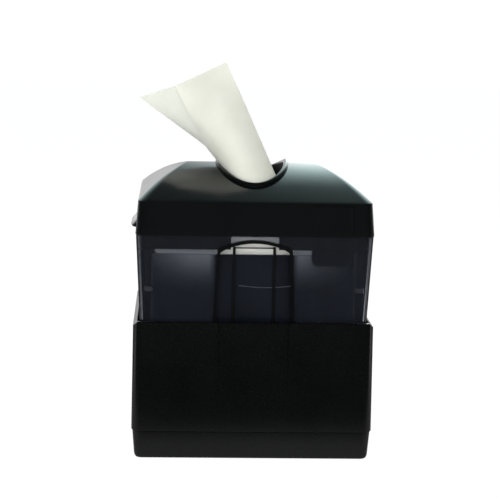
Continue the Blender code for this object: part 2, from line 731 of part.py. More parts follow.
def make_latch_hook():
    """Wide tab behind the button that hangs down inside the window body's front wall."""
    corner = 5.0
    low, high = HOOK_BOTTOM, HOOK_TOP
    outline = [(HOOK_HALF, high), (-HOOK_HALF, high)]
    for side, start in ((-1, pi), (1, 1.5 * pi)):
        for step in range(5):
            angle = start + step / 4 * pi / 2
            outline.append((side * (HOOK_HALF - corner) + corner * cos(angle),
                            low + corner + corner * sin(angle)))
    mesh = extruded_outline("latch_hook", outline, HOOK_THICK)
    hook = finish(mesh, "latch_hook", "black_plastic")
    hook.rotation_euler = (pi / 2, 0, 0)
    hook.location = (LATCH_X * MM, (HOOK_FRONT + HOOK_THICK / 2) * MM, 0)
    return hook


def make_latch_spring():
    start = (LATCH_X, HOOK_FRONT + HOOK_THICK + GAP, 194.0)
    length = SPRING_SEAT_Y - GAP - start[1]
    radius, wire_radius, turns = 2.6, 0.35, 4
    coil("latch_spring", start, (0, 1, 0), (1, 0, 0), length, radius, wire_radius, turns, "steel")


def hinge_screw_places():
    """(x, z) of the two screws in each hinge bracket."""
    return [
        (side * HINGE_X + way * HINGE_SCREW_SPREAD, HINGE_SCREW_Z)
        for side in (-1, 1) for way in (-1, 1)
    ]


def make_hinges():
    """Two brackets on the back of the window body, each with a steel pin through the lid's knuckle."""
    outer = KNUCKLE_HALF + GAP + EAR_WIDTH
    for name, side in (("left", -1), ("right", 1)):
        x = side * HINGE_X
        leaf = span_box(f"hinge_bracket_{name}", (x - outer, x + outer),
                        (LEAF_FRONT, LEAF_FRONT + LEAF_THICK), (168.0, 179.1), 0.3)
        bracket = finish(leaf, f"hinge_bracket_{name}", "black_plastic")
        for way in (-1, 1):
            middle = x + way * (KNUCKLE_HALF + GAP + EAR_WIDTH / 2)
            near, far = middle - EAR_WIDTH / 2, middle + EAR_WIDTH / 2
            ear = span_box("ear", (near, far), (LEAF_FRONT + 0.2, HINGE_Y + 0.4), (176.0, HINGE_Z - 0.6))
            join(bracket, tool(ear))
            barrel = cylinder_mesh("ear_barrel", BARREL, -EAR_WIDTH / 2 + 0.01, EAR_WIDTH / 2 - 0.01)
            join(bracket, tool(barrel, (middle, HINGE_Y, HINGE_Z), (0, pi / 2, 0)))
        way = cylinder_mesh("bracket_bore", PIN_RADIUS + GAP, -15.0, 15.0)
        cut(bracket, tool(way, (x, HINGE_Y, HINGE_Z), (0, pi / 2, 0)))
        for offset in (-HINGE_SCREW_SPREAD, HINGE_SCREW_SPREAD):
            hole = cylinder_mesh("leaf_hole", HINGE_SCREW[0] + 0.4, -4.0, 4.0)
            cut(bracket, tool(hole, (x + offset, LEAF_FRONT, HINGE_SCREW_Z), (pi / 2, 0, 0)))
        pin = turned(
            f"hinge_pin_{name}",
            [(0, outer + 0.6), (0.9, outer + 0.6), (PIN_RADIUS, outer + 0.2),
             (PIN_RADIUS, -outer - 0.2), (0.9, -outer - 0.6), (0, -outer - 0.6)],
            "steel",
        )
        pin.rotation_euler = (0, pi / 2, 0)
        pin.location = (x * MM, HINGE_Y * MM, HINGE_Z * MM)


def make_hinge_screws():
    head_height = HINGE_SCREW[2]
    head_face = LEAF_FRONT + LEAF_THICK + GAP + head_height
    for number, (x, z) in enumerate(hinge_screw_places(), 1):
        make_screw(f"hinge_screw_{number}", HINGE_SCREW, (x, head_face, z), (pi / 2, 0, 0))


def make_all():
    make_base_tray()
    make_base_housing()
    make_ballast_plate()
    make_feet()
    make_upright_screws("base_screw", BASE_SCREW, corner_places(BOSS_X, BOSS_Y), TRAY_BOTTOM + 1.2)
    make_window_body()
    make_arch_frame()
    make_stack_guard()
    make_napkin_well()
    make_lift_platform()
    make_lift_springs()
    make_napkin_stack()
    make_napkin_popup()
    make_lid_shell()
    make_throat_collar()
    make_lid_inner_frame()
    head_bottom = PLATE_BOTTOM - LID_SCREW[2] - GAP - 0.1
    make_upright_screws("lid_screw", LID_SCREW, corner_places(LID_SCREW_X, LID_SCREW_Y), head_bottom)
    make_latch_button()
    make_latch_hook()
    make_latch_spring()
    make_hinges()
    make_hinge_screws()


clear_scene()
PARTS = new_collection("napkin_dispenser")
CUTTERS = new_collection("cutters")
make_all()
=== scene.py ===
"""How the countertop napkin dispenser looks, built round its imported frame.

Lengths inside the shape functions are millimetres; meshes are scaled to metres as they are made.
+Z is up and the front faces -Y.
"""

import random
from math import atan, cos, pi, radians, sin

import bmesh
import bpy
from mathutils import Matrix, Vector, noise


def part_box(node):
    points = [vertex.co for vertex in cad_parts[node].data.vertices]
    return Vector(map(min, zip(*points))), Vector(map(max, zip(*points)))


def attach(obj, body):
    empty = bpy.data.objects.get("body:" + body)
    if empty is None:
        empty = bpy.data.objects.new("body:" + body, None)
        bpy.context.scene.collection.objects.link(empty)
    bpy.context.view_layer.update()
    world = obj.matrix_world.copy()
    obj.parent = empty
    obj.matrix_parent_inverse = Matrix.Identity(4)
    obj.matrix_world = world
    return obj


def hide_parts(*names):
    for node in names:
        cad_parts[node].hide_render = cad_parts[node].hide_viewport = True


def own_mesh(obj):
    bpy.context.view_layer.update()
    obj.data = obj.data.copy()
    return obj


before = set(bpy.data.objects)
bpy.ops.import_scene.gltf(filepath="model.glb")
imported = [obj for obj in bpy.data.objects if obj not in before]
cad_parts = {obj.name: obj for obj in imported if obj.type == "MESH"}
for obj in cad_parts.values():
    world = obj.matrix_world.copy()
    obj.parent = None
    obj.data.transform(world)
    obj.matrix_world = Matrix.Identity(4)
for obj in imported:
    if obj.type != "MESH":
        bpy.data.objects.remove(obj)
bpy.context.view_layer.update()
MM = 0.001
GAP = 0.3  # the clearance between neighbouring pieces


def lowest(node):
    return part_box(node)[0] / MM


def highest(node):
    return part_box(node)[1] / MM


# Plan: every wall ring is a rounded rectangle whose half depth is its half width less this.
HALF_DEPTH_LESS = 19.0

# Base
TRAY_BOTTOM = lowest("base_tray").z
SEAM = highest("base_tray").z
HOUSING_HALF = highest("base_housing").x
HOUSING_TOP = highest("base_housing").z
HOUSING_TOP_HALF = HOUSING_HALF - 0.9
HOUSING_WALL = 3.2
LEDGE_HALF = 84.4
RECESS_HALF = 28.2
BASE_CORNER = 8.0
BASE_SCREWS, FEET = (86.3, 67.3), (70.0, 52.0)

# Smoky body
BODY_BOTTOM = lowest("window_body").z
BODY_TOP = highest("window_body").z
BODY_TOP_HALF = highest("window_body").x
BODY_TAPER = 0.048
BODY_WALL = 2.2
CLIP_X, CLIP_Z = 83.4, 139.0

# Arched opening
ARCH_FOOT_Z, ARCH_SHOULDER_Z, ARCH_TOP_Z = 96.0, 171.3, 179.2
ARCH_FOOT_HALF, ARCH_SHOULDER_HALF = 33.3, 29.8
ARCH_RIM, ARCH_DEPTH, ARCH_PROUD = 2.4, 3.2, 0.6

# Well, platform and stack
WELL_HALF_X, WELL_HALF_Y, WELL_WALL = 82.0, 63.4, 2.0
WELL_FLOOR, WELL_TOP = lowest("napkin_well").z, 166.0
FLANGE_LOW, FLANGE_HIGH = 100.0, highest("napkin_well").z
STACK_LOW, STACK_HIGH = lowest("napkin_stack"), highest("napkin_stack")
PLATFORM_LOW, PLATFORM_HIGH = lowest("lift_platform"), highest("lift_platform")

# Lid
SKIRT_BOTTOM, SKIRT_BOTTOM_HALF = 182.4, 94.25
CREASE, CREASE_HALF = 209.1, 92.35
RIDGE, RIDGE_HALF = 233.5, 52.0
ROOF_BULGE = 0.6
LID_CORNER, LID_WALL = 7.0, 2.4
THROAT_X, THROAT_Y = 28.2, 52.7
PLATE_BOTTOM, PLATE_TOP = 182.3, 184.4
LID_SCREWS = (82.5, 62.5)
LIP_BOTTOM, LIP_HALF, LIP_WALL = lowest("lid_inner_frame").z, 90.3, 2.0
TAB_REACH, TAB_TOP, TAB_HALF = highest("lid_shell").x, 191.5, 33.0

# Latch and hinge
LATCH_X, LATCH_HALF, LATCH_Z, LATCH_HALF_Z = 61.5, 15.6, 196.4, 10.4
HOOK_LOW, HOOK_HIGH = lowest("latch_hook"), highest("latch_hook")
HINGE_X, HINGE_Y, HINGE_Z = 55.0, 78.35, 182.3
BARREL, PIN_RADIUS, KNUCKLE_HALF = 2.7, 1.2, 6.2


# ---------------- objects and node trees

def add_object(name, data):
    """A new object in the scene."""
    made = bpy.data.objects.new(name, data)
    bpy.context.scene.collection.objects.link(made)
    return made


class Nodes:
    """A node tree under construction, with short ways to add nodes and to feed them."""

    def __init__(self, tree):
        self.tree = tree

    def put(self, socket, value):
        """Feeds a socket from a node or an output, or sets it to a constant."""
        if isinstance(value, bpy.types.Node):
            value = value.outputs[0]
        if isinstance(value, bpy.types.NodeSocket):
            self.tree.links.new(value, socket)
        else:
            socket.default_value = value

    def add(self, kind, *first, **named):
        """A new node: `first` fills its inputs in order, `named` its settings and named inputs."""
        node = self.tree.nodes.new("ShaderNode" + kind)
        for name, value in named.items():
            if hasattr(node, name):
                setattr(node, name, value)
            else:
                self.put(node.inputs[name.replace("_", " ")], value)
        for socket, value in zip(node.inputs, first):
            self.put(socket, value)
        return node

    def split(self, vector):
        return self.add("SeparateXYZ", vector).outputs

    def math(self, operation, *values):
        return self.add("Math", *values, operation=operation).outputs[0]

    def product(self, *values):
        total = values[0]
        for value in values[1:]:
            total = self.math("MULTIPLY", total, value)
        return total

    def spread(self, value, low, high, start=0.3, end=0.7, smooth=False):
        """A value from start to end mapped onto low to high."""
        bend = "SMOOTHSTEP" if smooth else "LINEAR"
        return self.add("MapRange", value, start, end, low, high, interpolation_type=bend).outputs[0]

    def ramp(self, value, stops):
        """A value turned into a colour by (place, grey or colour) stops."""
        node = self.add("ValToRGB", value)
        elements = node.color_ramp.elements
        while len(elements) > 1:
            elements.remove(elements[-1])
        for number, (place, colour) in enumerate(stops):
            stop = elements.new(place) if number else elements[0]
            stop.position = place
            stop.color = (*colour, 1) if isinstance(colour, tuple) else (colour, colour, colour, 1)
        return node.outputs[0]

    def banded(self, value, low, high, stops):
        """A ramp from low to high whose stops are given in the value's own unit."""
        share = self.spread(value, 0, 1, low, high)
        return self.ramp(share, [((place - low) / (high - low), colour) for place, colour in stops])


# ---------------- camera, lights and stage

def make_camera():
    """Slightly above and left of the middle, turned towards the front, with a small roll."""
    place = Vector((-65.1, -1175.6, 354.1)) * MM
    yaw, pitch, roll = radians(1.54), radians(9.42), radians(0.88)
    ahead = Vector((sin(yaw) * cos(pitch), cos(yaw) * cos(pitch), -sin(pitch)))
    right = Vector((cos(yaw), -sin(yaw), 0.0))
    up = right.cross(ahead)
    rolled_right = right * cos(roll) + up * sin(roll)
    rolled_up = up * cos(roll) - right * sin(roll)
    data = bpy.data.cameras.new("camera")
    data.lens = 102.5
    data.shift_x = 0.08
    camera = add_object("camera", data)
    turn = Matrix((rolled_right, rolled_up, -ahead)).transposed().to_4x4()
    camera.matrix_world = Matrix.Translation(place) @ turn
    bpy.context.scene.camera = camera


def make_world():
    """White to the camera; for the object, a bright studio wall behind and a dim room in front."""
    world = bpy.data.worlds.new("studio")
    bpy.context.scene.world = world
    world.use_nodes = True
    nodes = Nodes(world.node_tree)
    nodes.tree.nodes.clear()
    x, y, z = nodes.split(nodes.add("TexCoord").outputs["Generated"])
    # Each height has a brightness and how red it is against green and blue.
    heights = ((0.0, 0.36, 1.0), (0.20, 0.60, 1.0), (0.40, 0.78, 0.90), (0.57, 0.60, 0.75),
               (0.77, 0.10, 0.72), (1.0, 0.03, 0.80))
    tone = nodes.ramp(z, [(height, (value * red, value, value)) for height, value, red in heights])
    behind = nodes.spread(y, 0.03, 3.2, -0.25, 0.55, smooth=True)
    across = nodes.banded(x, -1, 1, ((-0.60, 0.05), (-0.32, 0.75), (-0.10, 0.70), (0.0, 0.30),
                                     (0.05, 0.9), (0.12, 2.0), (0.32, 1.6), (0.60, 0.05)))
    path = nodes.add("LightPath").outputs
    weaker_light = nodes.spread(path["Is Diffuse Ray"], 1.0, 0.34, 0, 1)
    room = nodes.add("Background", tone, nodes.product(behind, across, weaker_light))
    seen = nodes.add("Background", (1, 1, 1, 1), 1.05)
    nodes.add("OutputWorld", nodes.add("MixShader", path["Is Camera Ray"], room, seen))


def make_light(name, place, size, watts, colour):
    """A soft round lamp aimed at the middle of the object and left out of mirror images."""
    data = bpy.data.lights.new(name, "AREA")
    data.shape = "DISK"
    data.size = size
    data.energy = watts
    data.color = colour
    light = add_object(name, data)
    light.location = place
    light.rotation_mode = "QUATERNION"
    light.rotation_quaternion = (Vector((0.0, 0.0, 0.18)) - Vector(place)).to_track_quat("-Z", "Y")
    light.visible_glossy = False
    light.visible_transmission = False
    light.visible_camera = False


def make_lighting():
    scene = bpy.context.scene
    scene.view_settings.view_transform = "Standard"
    scene.cycles.use_denoising = True
    make_world()
    make_light("key", (-0.02, -1.20, 1.35), 1.3, 12.8, (1.0, 0.99, 0.96))
    make_light("fill", (-0.20, -1.5, 0.33), 1.0, 11.5, (0.97, 0.98, 1.0))
    make_light("left fill", (-1.25, -0.35, 0.40), 0.8, 1.8, (0.99, 1.0, 0.98))
    make_light("back wall bounce", (0.9, 0.9, 0.9), 0.8, 3.0, (1, 1, 1))


def floor_look():
    """Pale and faintly shaded; its mirror image is banded by depth, with a lit strip at each side."""
    look = bpy.data.materials.new("floor")
    look.use_nodes = True
    look.cycles.emission_sampling = "NONE"
    nodes = Nodes(look.node_tree)
    nodes.tree.nodes.clear()
    matt = nodes.add("BsdfDiffuse", (0.16, 0.16, 0.16, 1))
    glow = nodes.add("Emission", Strength=0.97)
    x, y = nodes.split(nodes.add("TexCoord").outputs["Object"])[:2]
    bands = nodes.banded(y, -1.0, 2.5, ((-1.0, 0.06), (-0.5, 0.006), (-0.165, 0.006), (-0.110, 0.31),
                                        (0.0, 0.28), (0.12, 0.10), (1.4, 0.10), (2.0, 1.3)))
    aside = nodes.math("ABSOLUTE", x)
    slant = nodes.math("DIVIDE", y, aside)
    strip = nodes.banded(slant, -1, 1, ((-0.30, 0.0), (-0.16, 0.7), (-0.04, 0.7), (0.08, 0.0)))
    far_aside = nodes.spread(aside, 0, 1, 0.25, 0.45)
    lit_strip = nodes.add("MixRGB", 1.0, strip, far_aside, blend_type="MULTIPLY")
    mirrored = nodes.add("Emission", nodes.add("MixRGB", 1.0, bands, lit_strip, blend_type="ADD"))
    glossy = nodes.add("LightPath").outputs["Is Glossy Ray"]
    nodes.add("OutputMaterial", nodes.add("MixShader", glossy, nodes.add("AddShader", matt, glow), mirrored))
    return look


def make_stage():
    """A plain pale floor that reads white, with only a soft shadow under the object."""
    bm = bmesh.new()
    bmesh.ops.create_grid(bm, x_segments=1, y_segments=1, size=6.0)
    mesh = bpy.data.meshes.new("floor")
    bm.to_mesh(mesh)
    bm.free()
    mesh.materials.append(floor_look())
    floor = add_object("floor", mesh)
    floor.location.z = -0.0002


# ---------------- materials

class Look(Nodes):
    """A procedural material under construction, round its Principled shader."""

    def __init__(self, name, colour, roughness, **more):
        self.material = bpy.data.materials.new(name)
        self.material.use_nodes = True
        super().__init__(self.material.node_tree)
        self.shader = self.tree.nodes["Principled BSDF"]
        self.place = self.add("TexCoord").outputs["Object"]
        self.feed(Base_Color=(*colour, 1), Roughness=roughness, **more)

    def feed(self, **values):
        for name, value in values.items():
            self.put(self.shader.inputs[name.replace("_", " ")], value)

    def show(self, shader):
        """Puts another shader on the surface in place of the Principled one."""
        self.put(self.tree.nodes["Material Output"].inputs["Surface"], shader)

    def noise(self, scale, detail=3.0, stretch=None):
        place = self.add("Mapping", Vector=self.place, Scale=stretch) if stretch else self.place
        return self.add("TexNoise", Vector=place, Scale=scale, Detail=detail).outputs["Fac"]

    def tint(self, value, first, second):
        colour = self.ramp(value, [(0.3, first), (0.7, second)])
        self.feed(Base_Color=colour)
        return colour

    def rough(self, value, low, high):
        self.feed(Roughness=self.spread(value, low, high))

    def bump(self, value, height, strength=1.0, before=None):
        """Raises the surface by a value, on top of the bumps before, and returns the new normal."""
        node = self.add("Bump", Strength=strength, Distance=height, Height=value)
        if before:
            self.put(node.inputs["Normal"], before)
        self.feed(Normal=node)
        return node.outputs[0]


def black_plastic():
    """Smooth injection-moulded black, with a faint orange peel and fine rubbed haze."""
    look = Look("black_moulded_plastic", (0.0034, 0.0040, 0.0042), 0.24)
    look.tint(look.noise(26, 4), (0.0030, 0.0036, 0.0038), (0.0040, 0.0047, 0.0049))
    look.rough(look.noise(60, 6, (1, 1, 0.4)), 0.14, 0.20)
    peel = look.bump(look.noise(420, 2), 0.00004, 0.25)
    look.bump(look.noise(2600, 2), 0.00001, 0.3, peel)
    return look.material


def textured_black_plastic(name, roughness, base, **more):
    """Black plastic with a fine spark-eroded texture and faint paler patches of dust."""
    look = Look(name, base, roughness, **more)
    look.tint(look.noise(34, 5), base, tuple(1.35 * part for part in base))
    look.rough(look.noise(260, 4), roughness - 0.02, roughness + 0.02)
    coarse = look.bump(look.noise(1500, 3), 0.00002, 0.12)
    look.bump(look.noise(4200, 2), 0.00001, 0.08, coarse)
    return look.material


def smoke_plastic():
    """Smoky translucent plastic: faintly rippled, a little milky, and darker seen at a slant."""
    look = Look("smoke_plastic", (0.50, 0.52, 0.57), 0.12, IOR=1.45, Transmission_Weight=1.0)
    tone = look.tint(look.noise(14, 3), (0.50, 0.52, 0.57), (0.58, 0.60, 0.65))
    slant = look.add("LayerWeight", Blend=0.5).outputs["Facing"]
    thick = (0.02, 0.025, 0.04, 1)
    look.feed(Base_Color=look.add("MixRGB", look.spread(slant, 0, 1, 0.30, 0.62), tone, thick))
    look.rough(look.noise(45, 3, (3.0, 3.0, 0.3)), 0.08, 0.16)
    flow = look.bump(look.noise(38, 2, (2.5, 2.5, 0.25)), 0.0002, 0.25)
    look.bump(look.noise(1700, 2), 0.00001, 0.08, flow)
    milk = look.add("BsdfDiffuse", (0.34, 0.39, 0.50, 1))
    milky = look.add("MixShader", 0.014, look.shader, milk)
    clear = look.add("BsdfTransparent", (0.86, 0.87, 0.90, 1))
    shadow = look.add("LightPath").outputs["Is Shadow Ray"]
    look.show(look.add("MixShader", shadow, milky, clear))
    return look.material


def tub_plastic():
    """Dark navy plastic of the inner tub, with painted light: a pale glow painted on its front below the rim,
    and its far sides painted lighter.
    """
    look = Look("tub_plastic", (0.006, 0.009, 0.017), 0.16)
    look.rough(look.noise(70, 4, (2, 2, 0.4)), 0.12, 0.22)
    look.bump(look.noise(30, 3, (1.6, 1.6, 0.5)), 0.0003, 0.3)
    dark = look.tint(look.noise(22, 4, (1, 1, 0.5)), (0.0040, 0.0052, 0.0085), (0.0085, 0.0105, 0.016))
    x, y, z = look.split(look.place)
    # Painted light: a pale glow painted on the front below the rim, strongest at the top and fading
    # downwards, towards both ends and beside the arch; the right end fades early, as painted shade of the
    # hook block.
    aside = look.math("ABSOLUTE", x)
    beside_arch = look.spread(aside, 0, 1, 0.031, 0.036)
    left_end = look.spread(x, 0, 1, -0.086, -0.050)
    right_end = look.spread(x, 1, 0, 0.030, 0.080)
    up = look.spread(z, 0, 1, 0.129, 0.168)
    front = look.spread(y, 1, 0, -0.062, -0.059)
    glow = look.product(up, up, up, right_end, left_end, beside_arch, front)
    lit = look.add("MixRGB", glow, dark, (0.52, 0.53, 0.54, 1))
    # Painted light: the tub's outer sides and the flange beyond them, which sit in shade, are painted
    # lighter.
    edge = look.spread(aside, 0, 1, 0.0795, 0.0815)
    look.feed(Base_Color=look.add("MixRGB", edge, lit, (0.020, 0.022, 0.028, 1)))
    return look.material


def paper():
    """Soft tissue: warm off-white, fibrous, lightly see-through."""
    look = Look("tissue_paper", (0.83, 0.84, 0.75), 0.9, Sheen_Weight=0.15, Specular_IOR_Level=0.2)
    tone = look.tint(look.noise(60, 6), (0.80, 0.815, 0.72), (0.86, 0.868, 0.79))
    dots = look.add("TexVoronoi", Vector=look.place, Scale=900.0)
    dimples = look.bump(dots.outputs["Distance"], 0.00008, 0.35)
    fibres = look.bump(look.noise(2400, 4, (1.0, 1.0, 0.35)), 0.00006, 0.4, dimples)
    glow = look.add("BsdfTranslucent", tone, fibres)
    look.show(look.add("MixShader", 0.10, look.shader, glow))
    return look.material


def stack_paper():
    """The stack's paper: as the drawn napkin, with the fine lines of many folds."""
    look = Look("stacked_paper", (0.83, 0.83, 0.79), 0.9, Specular_IOR_Level=0.15)
    look.tint(look.noise(50, 5, (1, 1, 8)), (0.76, 0.76, 0.72), (0.88, 0.88, 0.85))
    look.bump(look.noise(900, 4, (0.3, 0.3, 1.5)), 0.0001, 0.4)
    return look.material


def steel(name, colour, roughness, stretch):
    """Zinc-plated or drawn steel with fine directional lines."""
    look = Look(name, colour, roughness, Metallic=1.0)
    look.rough(look.noise(300, 4, stretch), roughness - 0.08, roughness + 0.10)
    look.tint(look.noise(120, 4), tuple(0.85 * part for part in colour), colour)
    look.bump(look.noise(900, 3, stretch), 0.00001, 0.3)
    return look.material


def rubber():
    look = Look("black_rubber", (0.022, 0.022, 0.022), 0.75)
    look.tint(look.noise(200, 4), (0.016, 0.016, 0.016), (0.032, 0.031, 0.030))
    look.bump(look.noise(1800, 3), 0.00003, 0.5)
    return look.material


# ---------------- mesh helpers

def mesh_of(bm, name, in_mm=True):
    if in_mm:
        bmesh.ops.scale(bm, vec=(MM, MM, MM), verts=bm.verts)
    bmesh.ops.recalc_face_normals(bm, faces=bm.faces)
    mesh = bpy.data.meshes.new(name)
    bm.to_mesh(mesh)
    bm.free()
    return mesh


def shade(mesh, angle=32):
    """Shades a mesh smooth but for edges sharper than an angle."""
    mesh.shade_smooth()
    mesh.set_sharp_from_angle(angle=radians(angle))


def piece(name, mesh, look, body, replaces=(), angle=32):
    """A shown piece that rides on a body and may stand in for CAD nodes."""
    shade(mesh, angle)
    made = add_object(name, mesh)
    made.data.materials.append(look)
    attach(made, body)
    if replaces:
        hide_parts(*replaces)
    return made


def soften_edges(made, width, segments=2, angle=38):
    step = made.modifiers.new("soft edges", "BEVEL")
    step.width = width * MM
    step.segments = segments
    step.limit_method = "ANGLE"
    step.angle_limit = radians(angle)
    step.harden_normals = True
    step.miter_outer = "MITER_ARC"


def even_shading(made):
    """Shades each large face flat to its own plane, so cut-outs leave no streaks beside them."""
    step = made.modifiers.new("even shading", "WEIGHTED_NORMAL")
    step.keep_sharp = True
    step.weight = 100


def combine(made, operation, mesh, place, turn):
    """Adds a boolean step whose hidden tool settle() takes away again."""
    tool = add_object("tool_" + mesh.name, mesh)
    tool.location = Vector(place) * MM
    tool.rotation_euler = turn
    tool.hide_render = True
    tool.hide_viewport = True
    step = made.modifiers.new(operation.lower(), "BOOLEAN")
    step.operation = operation
    step.object = tool


def cut(made, mesh, place=(0, 0, 0), turn=(0, 0, 0)):
    combine(made, "DIFFERENCE", mesh, place, turn)


def join(made, mesh, place=(0, 0, 0), turn=(0, 0, 0)):
    combine(made, "UNION", mesh, place, turn)


def finished_mesh(made):
    """The mesh of an object as its modifiers or curve settings make it."""
    bpy.context.view_layer.update()
    graph = bpy.context.evaluated_depsgraph_get()
    return bpy.data.meshes.new_from_object(made.evaluated_get(graph))


def settle(made, angle=32):
    """Turns the modifiers so far into plain mesh, and drops the tools they used."""
    mesh = finished_mesh(made)
    tools = [step.object for step in made.modifiers if step.type == "BOOLEAN"]
    made.modifiers.clear()
    made.data = mesh
    bm = bmesh.new()
    bm.from_mesh(mesh)
    bmesh.ops.dissolve_degenerate(bm, dist=0.000002, edges=bm.edges)
    bm.to_mesh(mesh)
    bm.free()
    shade(mesh, angle)
    for tool in tools:
        bpy.data.objects.remove(tool)


def placed(mesh, place, turn=0.0):
    """A mesh turned about X, then moved to a place in millimetres."""
    mesh.transform(Matrix.Translation(Vector(place) * MM) @ Matrix.Rotation(turn, 4, "X"))
    return mesh


def box_mesh(name, size, bevel=0.0):
    bm = bmesh.new()
    bmesh.ops.create_cube(bm, size=1.0)
    bmesh.ops.scale(bm, vec=size, verts=bm.verts)
    if bevel:
        bmesh.ops.bevel(bm, geom=bm.edges[:], offset=bevel, segments=3, affect="EDGES", profile=0.5)
    return mesh_of(bm, name)


def span_box(name, x, y, z, bevel=0.0):
    """A box mesh from three (low, high) pairs, already in place."""
    low, high = Vector((x[0], y[0], z[0])), Vector((x[1], y[1], z[1]))
    return placed(box_mesh(name, high - low, bevel), (low + high) / 2)


def cylinder_mesh(name, radius, low, high, x=0.0, y=0.0):
    bm = bmesh.new()
    bmesh.ops.create_cone(bm, cap_ends=True, segments=40, radius1=radius, radius2=radius, depth=high - low)
    bmesh.ops.translate(bm, vec=(x, y, (low + high) / 2), verts=bm.verts)
    return mesh_of(bm, name)


def turned_mesh(name, profile, sides=48):
    """A turned body from (radius, z) points down the outside; both ends on the axis."""
    bm = bmesh.new()
    rings = []
    for radius, z in profile:
        if radius < 0.001:
            rings.append([bm.verts.new((0, 0, z))])
        else:
            angles = [2 * pi * s / sides for s in range(sides)]
            rings.append([bm.verts.new((radius * cos(angle), radius * sin(angle), z)) for angle in angles])
    for upper, lower in zip(rings, rings[1:]):
        for s in range(sides):
            after = (s + 1) % sides
            corners = [upper[s % len(upper)], upper[after % len(upper)],
                       lower[after % len(lower)], lower[s % len(lower)]]
            # At the axis, two corners are one and the same point.
            bm.faces.new(list(dict.fromkeys(corners)))
    return mesh_of(bm, name)


def evenly(count):
    """Shares from 0 to 1 in equal steps."""
    return [step / count for step in range(count + 1)]


def rounded_rectangle(half_x, half_y, radius, steps=10, side_x=1, side_y=1):
    """Points anticlockwise round a rounded rectangle, with extra points along its straight sides."""
    corners = []
    for quarter, (way_x, way_y) in enumerate(((1, 1), (-1, 1), (-1, -1), (1, -1))):
        arc = []
        for share in evenly(steps):
            angle = (quarter + share) * pi / 2
            arc.append((way_x * (half_x - radius) + radius * cos(angle),
                        way_y * (half_y - radius) + radius * sin(angle)))
        corners.append(arc)
    points = []
    for number, arc in enumerate(corners):
        points += arc
        following = corners[(number + 1) % 4][0]
        last = arc[-1]
        for share in evenly((side_x, side_y)[number % 2])[1:-1]:
            points.append((last[0] + (following[0] - last[0]) * share,
                           last[1] + (following[1] - last[1]) * share))
    return points


def level_ring(half_x, z, radius, half_y=None, **detail):
    depth = half_x - HALF_DEPTH_LESS if half_y is None else half_y
    return [Vector((x, y, z)) for x, y in rounded_rectangle(half_x, depth, radius, **detail)]


def skin(bm, loops, closed=False):
    """Faces from each loop of vertices to the next, capped at both ends or closed end to end."""
    pairs = list(zip(loops, loops[1:]))
    if closed:
        pairs.append((loops[-1], loops[0]))
    for lower, upper in pairs:
        for here in range(len(lower)):
            after = (here + 1) % len(lower)
            bm.faces.new((lower[here], lower[after], upper[after], upper[here]))
    if not closed:
        bm.faces.new(reversed(loops[0]))
        bm.faces.new(loops[-1])


def loft(name, rings, closed=False):
    """A body through rings with equal numbers of points."""
    bm = bmesh.new()
    skin(bm, [[bm.verts.new(point) for point in ring] for ring in rings], closed)
    return mesh_of(bm, name)


def rounded_profile(corners, steps=4):
    """(half width, z) points of a section, each corner (half, z, radius) turned into an arc."""
    points = []
    count = len(corners)
    for number, (half, z, radius) in enumerate(corners):
        here = Vector((half, z))
        if radius <= 0:
            points.append(here)
            continue
        before = Vector(corners[number - 1][:2])
        after = Vector(corners[(number + 1) % count][:2])
        start = here + (before - here).normalized() * radius
        end = here + (after - here).normalized() * radius
        for share in evenly(steps):
            points.append(start * (1 - share) ** 2 + here * 2 * share * (1 - share) + end * share ** 2)
    return [(point.x, point.y) for point in points]


def wall_mesh(name, profile, radius, closed=True, **detail):
    """A shell whose section runs round the dispenser's rounded rectangle."""
    widest = max(half for half, z in profile)
    rings = [level_ring(half, z, max(1.0, radius - (widest - half)), **detail) for half, z in profile]
    return loft(name, rings, closed)


def mesh_from_curve(curve):
    holder = add_object(curve.name, curve)
    mesh = finished_mesh(holder)
    bpy.data.objects.remove(holder)
    mesh.materials.clear()
    return mesh


def flat_outline(name, points, thickness):
    """A flat outline in the XY plane, extruded along Z by its thickness, as a mesh in metres."""
    curve = bpy.data.curves.new(name, "CURVE")
    curve.dimensions = "2D"
    curve.fill_mode = "BOTH"
    curve.extrude = thickness / 2 * MM
    spline = curve.splines.new("POLY")
    spline.points.add(len(points) - 1)
    for place, (x, y) in zip(spline.points, points):
        place.co = (x * MM, y * MM, 0, 1)
    spline.use_cyclic_u = True
    bm = bmesh.new()
    bm.from_mesh(mesh_from_curve(curve))
    bmesh.ops.remove_doubles(bm, verts=bm.verts, dist=0.00001)
    return mesh_of(bm, name, in_mm=False)


# ---------------- shared shapes

def body_half(z):
    return BODY_TOP_HALF - (BODY_TOP - z) * BODY_TAPER


def skirt_half(z):
    share = (z - SKIRT_BOTTOM) / (CREASE - SKIRT_BOTTOM)
    return SKIRT_BOTTOM_HALF + (CREASE_HALF - SKIRT_BOTTOM_HALF) * share


def roof_rise(share):
    return (RIDGE - CREASE) * (share + ROOF_BULGE * share * (1 - share))


def roof_height(x, y):
    from_front = 1 - abs(y) / (CREASE_HALF - HALF_DEPTH_LESS)
    from_side = (CREASE_HALF - abs(x)) / (CREASE_HALF - RIDGE_HALF)
    return CREASE + roof_rise(min(from_front, from_side, 1.0))


def roof_ring(share, inset=0.0, drop=0.0, **detail):
    half_x = RIDGE_HALF + (CREASE_HALF - RIDGE_HALF) * (1 - share) - inset
    half_y = (CREASE_HALF - HALF_DEPTH_LESS) * (1 - share) - inset
    radius = min(0.3 + LID_CORNER * (1 - share), half_y * 0.8)
    return level_ring(half_x, CREASE + roof_rise(share) - drop, radius, half_y, **detail)


def corner_places(x, y):
    return [(x * way_x, y * way_y) for way_x in (-1, 1) for way_y in (-1, 1)]


